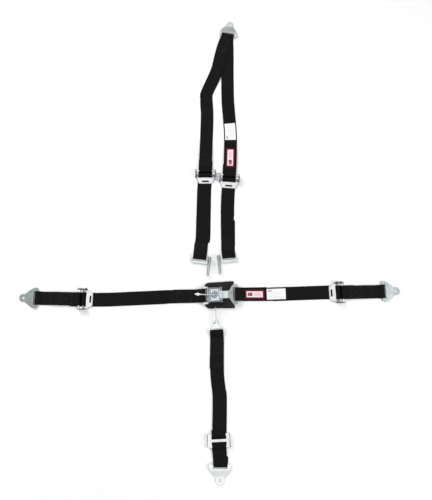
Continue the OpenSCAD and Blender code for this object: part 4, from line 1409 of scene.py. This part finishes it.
def bucklePad():
    c, x, y = padLook["chamfer"], padLook["length"] / 2 - 0.8, padLook["width"] / 2 - 0.8
    # square corners towards the link, cut-off ones and a notch for the belt at the other end
    outline = rounded([(x + 0.8, -y - 0.8, 0.5), (x, -26, 0), (x, 26, 0), (x + 0.8, y + 0.8, 0.5),
                       (c - x, y, 4), (4 - x, y - 6, 3), (-x, y - c, 4), (-x, 28.5, 2), (5.6 - x, 28.5, 2.5),
                       (5.6 - x, -28.5, 2.5), (-x, -28.5, 2), (-x, c - y, 4), (4 - x, 6 - y, 3),
                       (c - x, -y, 4)])
    bm = bmesh.new()
    lowRing = [bm.verts.new((px * mm, py * mm, 1.2 * mm)) for px, py in outline]
    highRing = [bm.verts.new((px * mm, py * mm, 8.4 * mm)) for px, py in outline]
    bm.faces.new(lowRing[::-1])
    bm.faces.new(highRing)
    for k in range(len(outline)):
        n = (k + 1) % len(outline)
        bm.faces.new((lowRing[k], lowRing[n], highRing[n], highRing[k]))
    mesh = bpy.data.meshes.new("bucklePad")
    bm.to_mesh(mesh)
    bm.free()
    pad = bpy.data.objects.new("bucklePad", mesh)
    bpy.context.collection.objects.link(pad)
    remesh = pad.modifiers.new("voxels", "REMESH")
    remesh.mode, remesh.voxel_size = "VOXEL", 0.0024
    bpy.context.view_layer.update()
    mesh = meshFrom(pad)
    pad.modifiers.clear()
    pad.data = mesh
    rest = [vert.co.copy() for vert in mesh.vertices]
    cloth = pad.modifiers.new("swell", "CLOTH")
    cloth.settings.use_pressure = True
    cloth.settings.uniform_pressure_force = 4
    cloth.settings.effector_weights.gravity = 0
    cloth.settings.quality = 5
    cloth.settings.mass = 0.3
    cloth.point_cache.frame_start, cloth.point_cache.frame_end = 1, 20
    scene = bpy.context.scene
    for step in range(1, 21):
        scene.frame_set(step)
    swollen = meshFrom(pad)
    pad.modifiers.clear()
    pad.data = swollen
    scene.frame_set(1)
    mesh = pad.data
    for vert, start in zip(mesh.vertices, rest):
        push = vert.co - start
        if push.length > 4 * mm:
            push *= 4 * mm / push.length
        px, py, pz = (start + push) / mm
        edgeFade = min((58 - abs(px)) / 9, (52.5 - abs(py)) / 9, 1)
        if pz < 2.6:
            pz = 0.15 + 1.2 * (1 - min(max(edgeFade * 3, 0), 1))
        ceiling = padLook["under"]
        if abs(py) > 33:
            ceiling += (padLook["rim"] - padLook["under"]) * min((abs(py) - 33) / 8, 1)
        swell = 0.9 * noise.noise(Vector((px * 0.05, py * 0.05, 3.1)))
        if pz > 7.5:
            pz = min(pz + swell * 0.5, ceiling)
        vert.co = Vector((px, py, max(pz, 0.1))) * mm
    smooth = pad.modifiers.new("soft", "SMOOTH")
    smooth.factor, smooth.iterations = 0.5, 2
    finer = pad.modifiers.new("finer", "SUBSURF")
    finer.levels = finer.render_levels = 1
    mesh = meshFrom(pad)
    pad.modifiers.clear()
    pad.data = mesh
    # the swollen shape is drawn out again to the pad's real length and width
    reachX = max(abs(vert.co.x) for vert in mesh.vertices)
    reachY = max(abs(vert.co.y) for vert in mesh.vertices)
    for vert in mesh.vertices:
        vert.co.x *= (padLook["length"] / 2 - 0.6) * mm / reachX
        vert.co.y *= (padLook["width"] / 2 - 0.6) * mm / reachY
    sides = [vert.co / mm for vert in mesh.vertices if 0.002 < vert.co.z < 0.008]
    mesh.transform(latchMatrix)
    finishPiece(pad, "buckle", ("buckle_pad",), vinyl, 0)
    pad.data.shade_smooth()
    # bound edge: a welt cord all round at half height
    line = []
    for px, py in fillLoop(outline, 2.0):
        near = min(sides, key=lambda spot: (spot.x - px) ** 2 + (spot.y - py) ** 2 + 0.1 * (spot.z - 5) ** 2)
        out = Vector((px, py)).normalized() * 0.25
        line.append((near.x + out.x, near.y + out.y))
    line = [((line[k - 1][0] + 2 * line[k][0] + line[(k + 1) % len(line)][0]) / 4,
             (line[k - 1][1] + 2 * line[k][1] + line[(k + 1) % len(line)][1]) / 4) for k in range(len(line))]
    curve = bpy.data.curves.new("padWelt", "CURVE")
    curve.dimensions = "3D"
    curve.bevel_depth = 1.1 * mm
    curve.bevel_resolution = 3
    spline = curve.splines.new("POLY")
    spline.points.add(len(line) - 1)
    for point, (px, py) in zip(spline.points, line):
        pz = 5.0 + 0.3 * noise.noise(Vector((px * 0.05, py * 0.05, 0)))
        point.co = (*(latchMatrix @ (Vector((px, py, pz)) * mm)), 1)
    spline.use_cyclic_u = True
    mesh = meshFromCurve("padWelt", curve)
    mesh.materials.clear()
    finishPiece(bpy.data.objects.new("padWelt", mesh), "buckle", (), vinyl, 60)


bucklePad()
print("pad ready")


def sewnLabel(name, run, u0, u1, width, height, thick, material, thread, body, node, seed,
              shift=0.0):
    steps = max(2, int((u1 - u0) / 3))
    line = [(u0 + (u1 - u0) * k / steps, height(u0 + (u1 - u0) * k / steps) + thick / 2)
            for k in range(steps + 1)]
    ripple = 0.9 if run is rightUpperRun else 0.0
    strip = webbingStrip(name, run, line, width, thick, shift=shift, ripple=ripple, seed=seed)
    finishPiece(strip, body, (node,), material)
    inset = 2.0
    border = [[(u0 + inset, -width / 2 + inset), (u1 - inset, -width / 2 + inset),
               (u1 - inset, width / 2 - inset), (u0 + inset, width / 2 - inset),
               (u0 + inset, -width / 2 + inset)]]
    stitchLines(name + "Stitching", run, border, lambda u: height(u) + thick, thread, body, shift,
                1.9, 0.8, 0.24)


rightLapTop = heightOver(rightLapProfile)
sewnLabel("lapRedLabel", rightLapRun, 35, 109, 33, rightLapTop, 0.5, redLabel, redThread,
          "lap_right_belt", "lap_red_label", 41)
sewnLabel("lapWhiteLabel", rightLapRun, 119, 193, 42, rightLapTop, 0.3, whiteLabel, whiteThread,
          "lap_right_belt", "lap_white_label", 43)
rightUpperTop = heightOver(rightUpperProfile)
sewnLabel("shoulderRedLabel", rightUpperRun, 37, 118, 33, rightUpperTop, 0.5, redLabel, redThread,
          "shoulder_yoke", "shoulder_red_label", 9)
sewnLabel("shoulderWhiteLabel", rightUpperRun, 154, 230, 44, lambda u: 1.55, 0.3, whiteLabel, whiteThread,
          "shoulder_yoke", "shoulder_white_label", 9)
print("labels ready")


def paleFloor():
    mesh = bpy.data.meshes.new("floor")
    mesh.from_pydata([(-60, -60, 0), (60, -60, 0), (60, 60, 0), (-60, 60, 0)], [], [(0, 1, 2, 3)])
    floorMaterial = bpy.data.materials.new("paleFloor")
    floorMaterial.use_nodes = True
    shader = floorMaterial.node_tree.nodes["Principled BSDF"]
    shader.inputs["Base Color"].default_value = (0.93, 0.93, 0.93, 1)
    shader.inputs["Roughness"].default_value = 0.9
    mesh.materials.append(floorMaterial)
    floor = bpy.data.objects.new("floor", mesh)
    bpy.context.collection.objects.link(floor)


paleFloor()
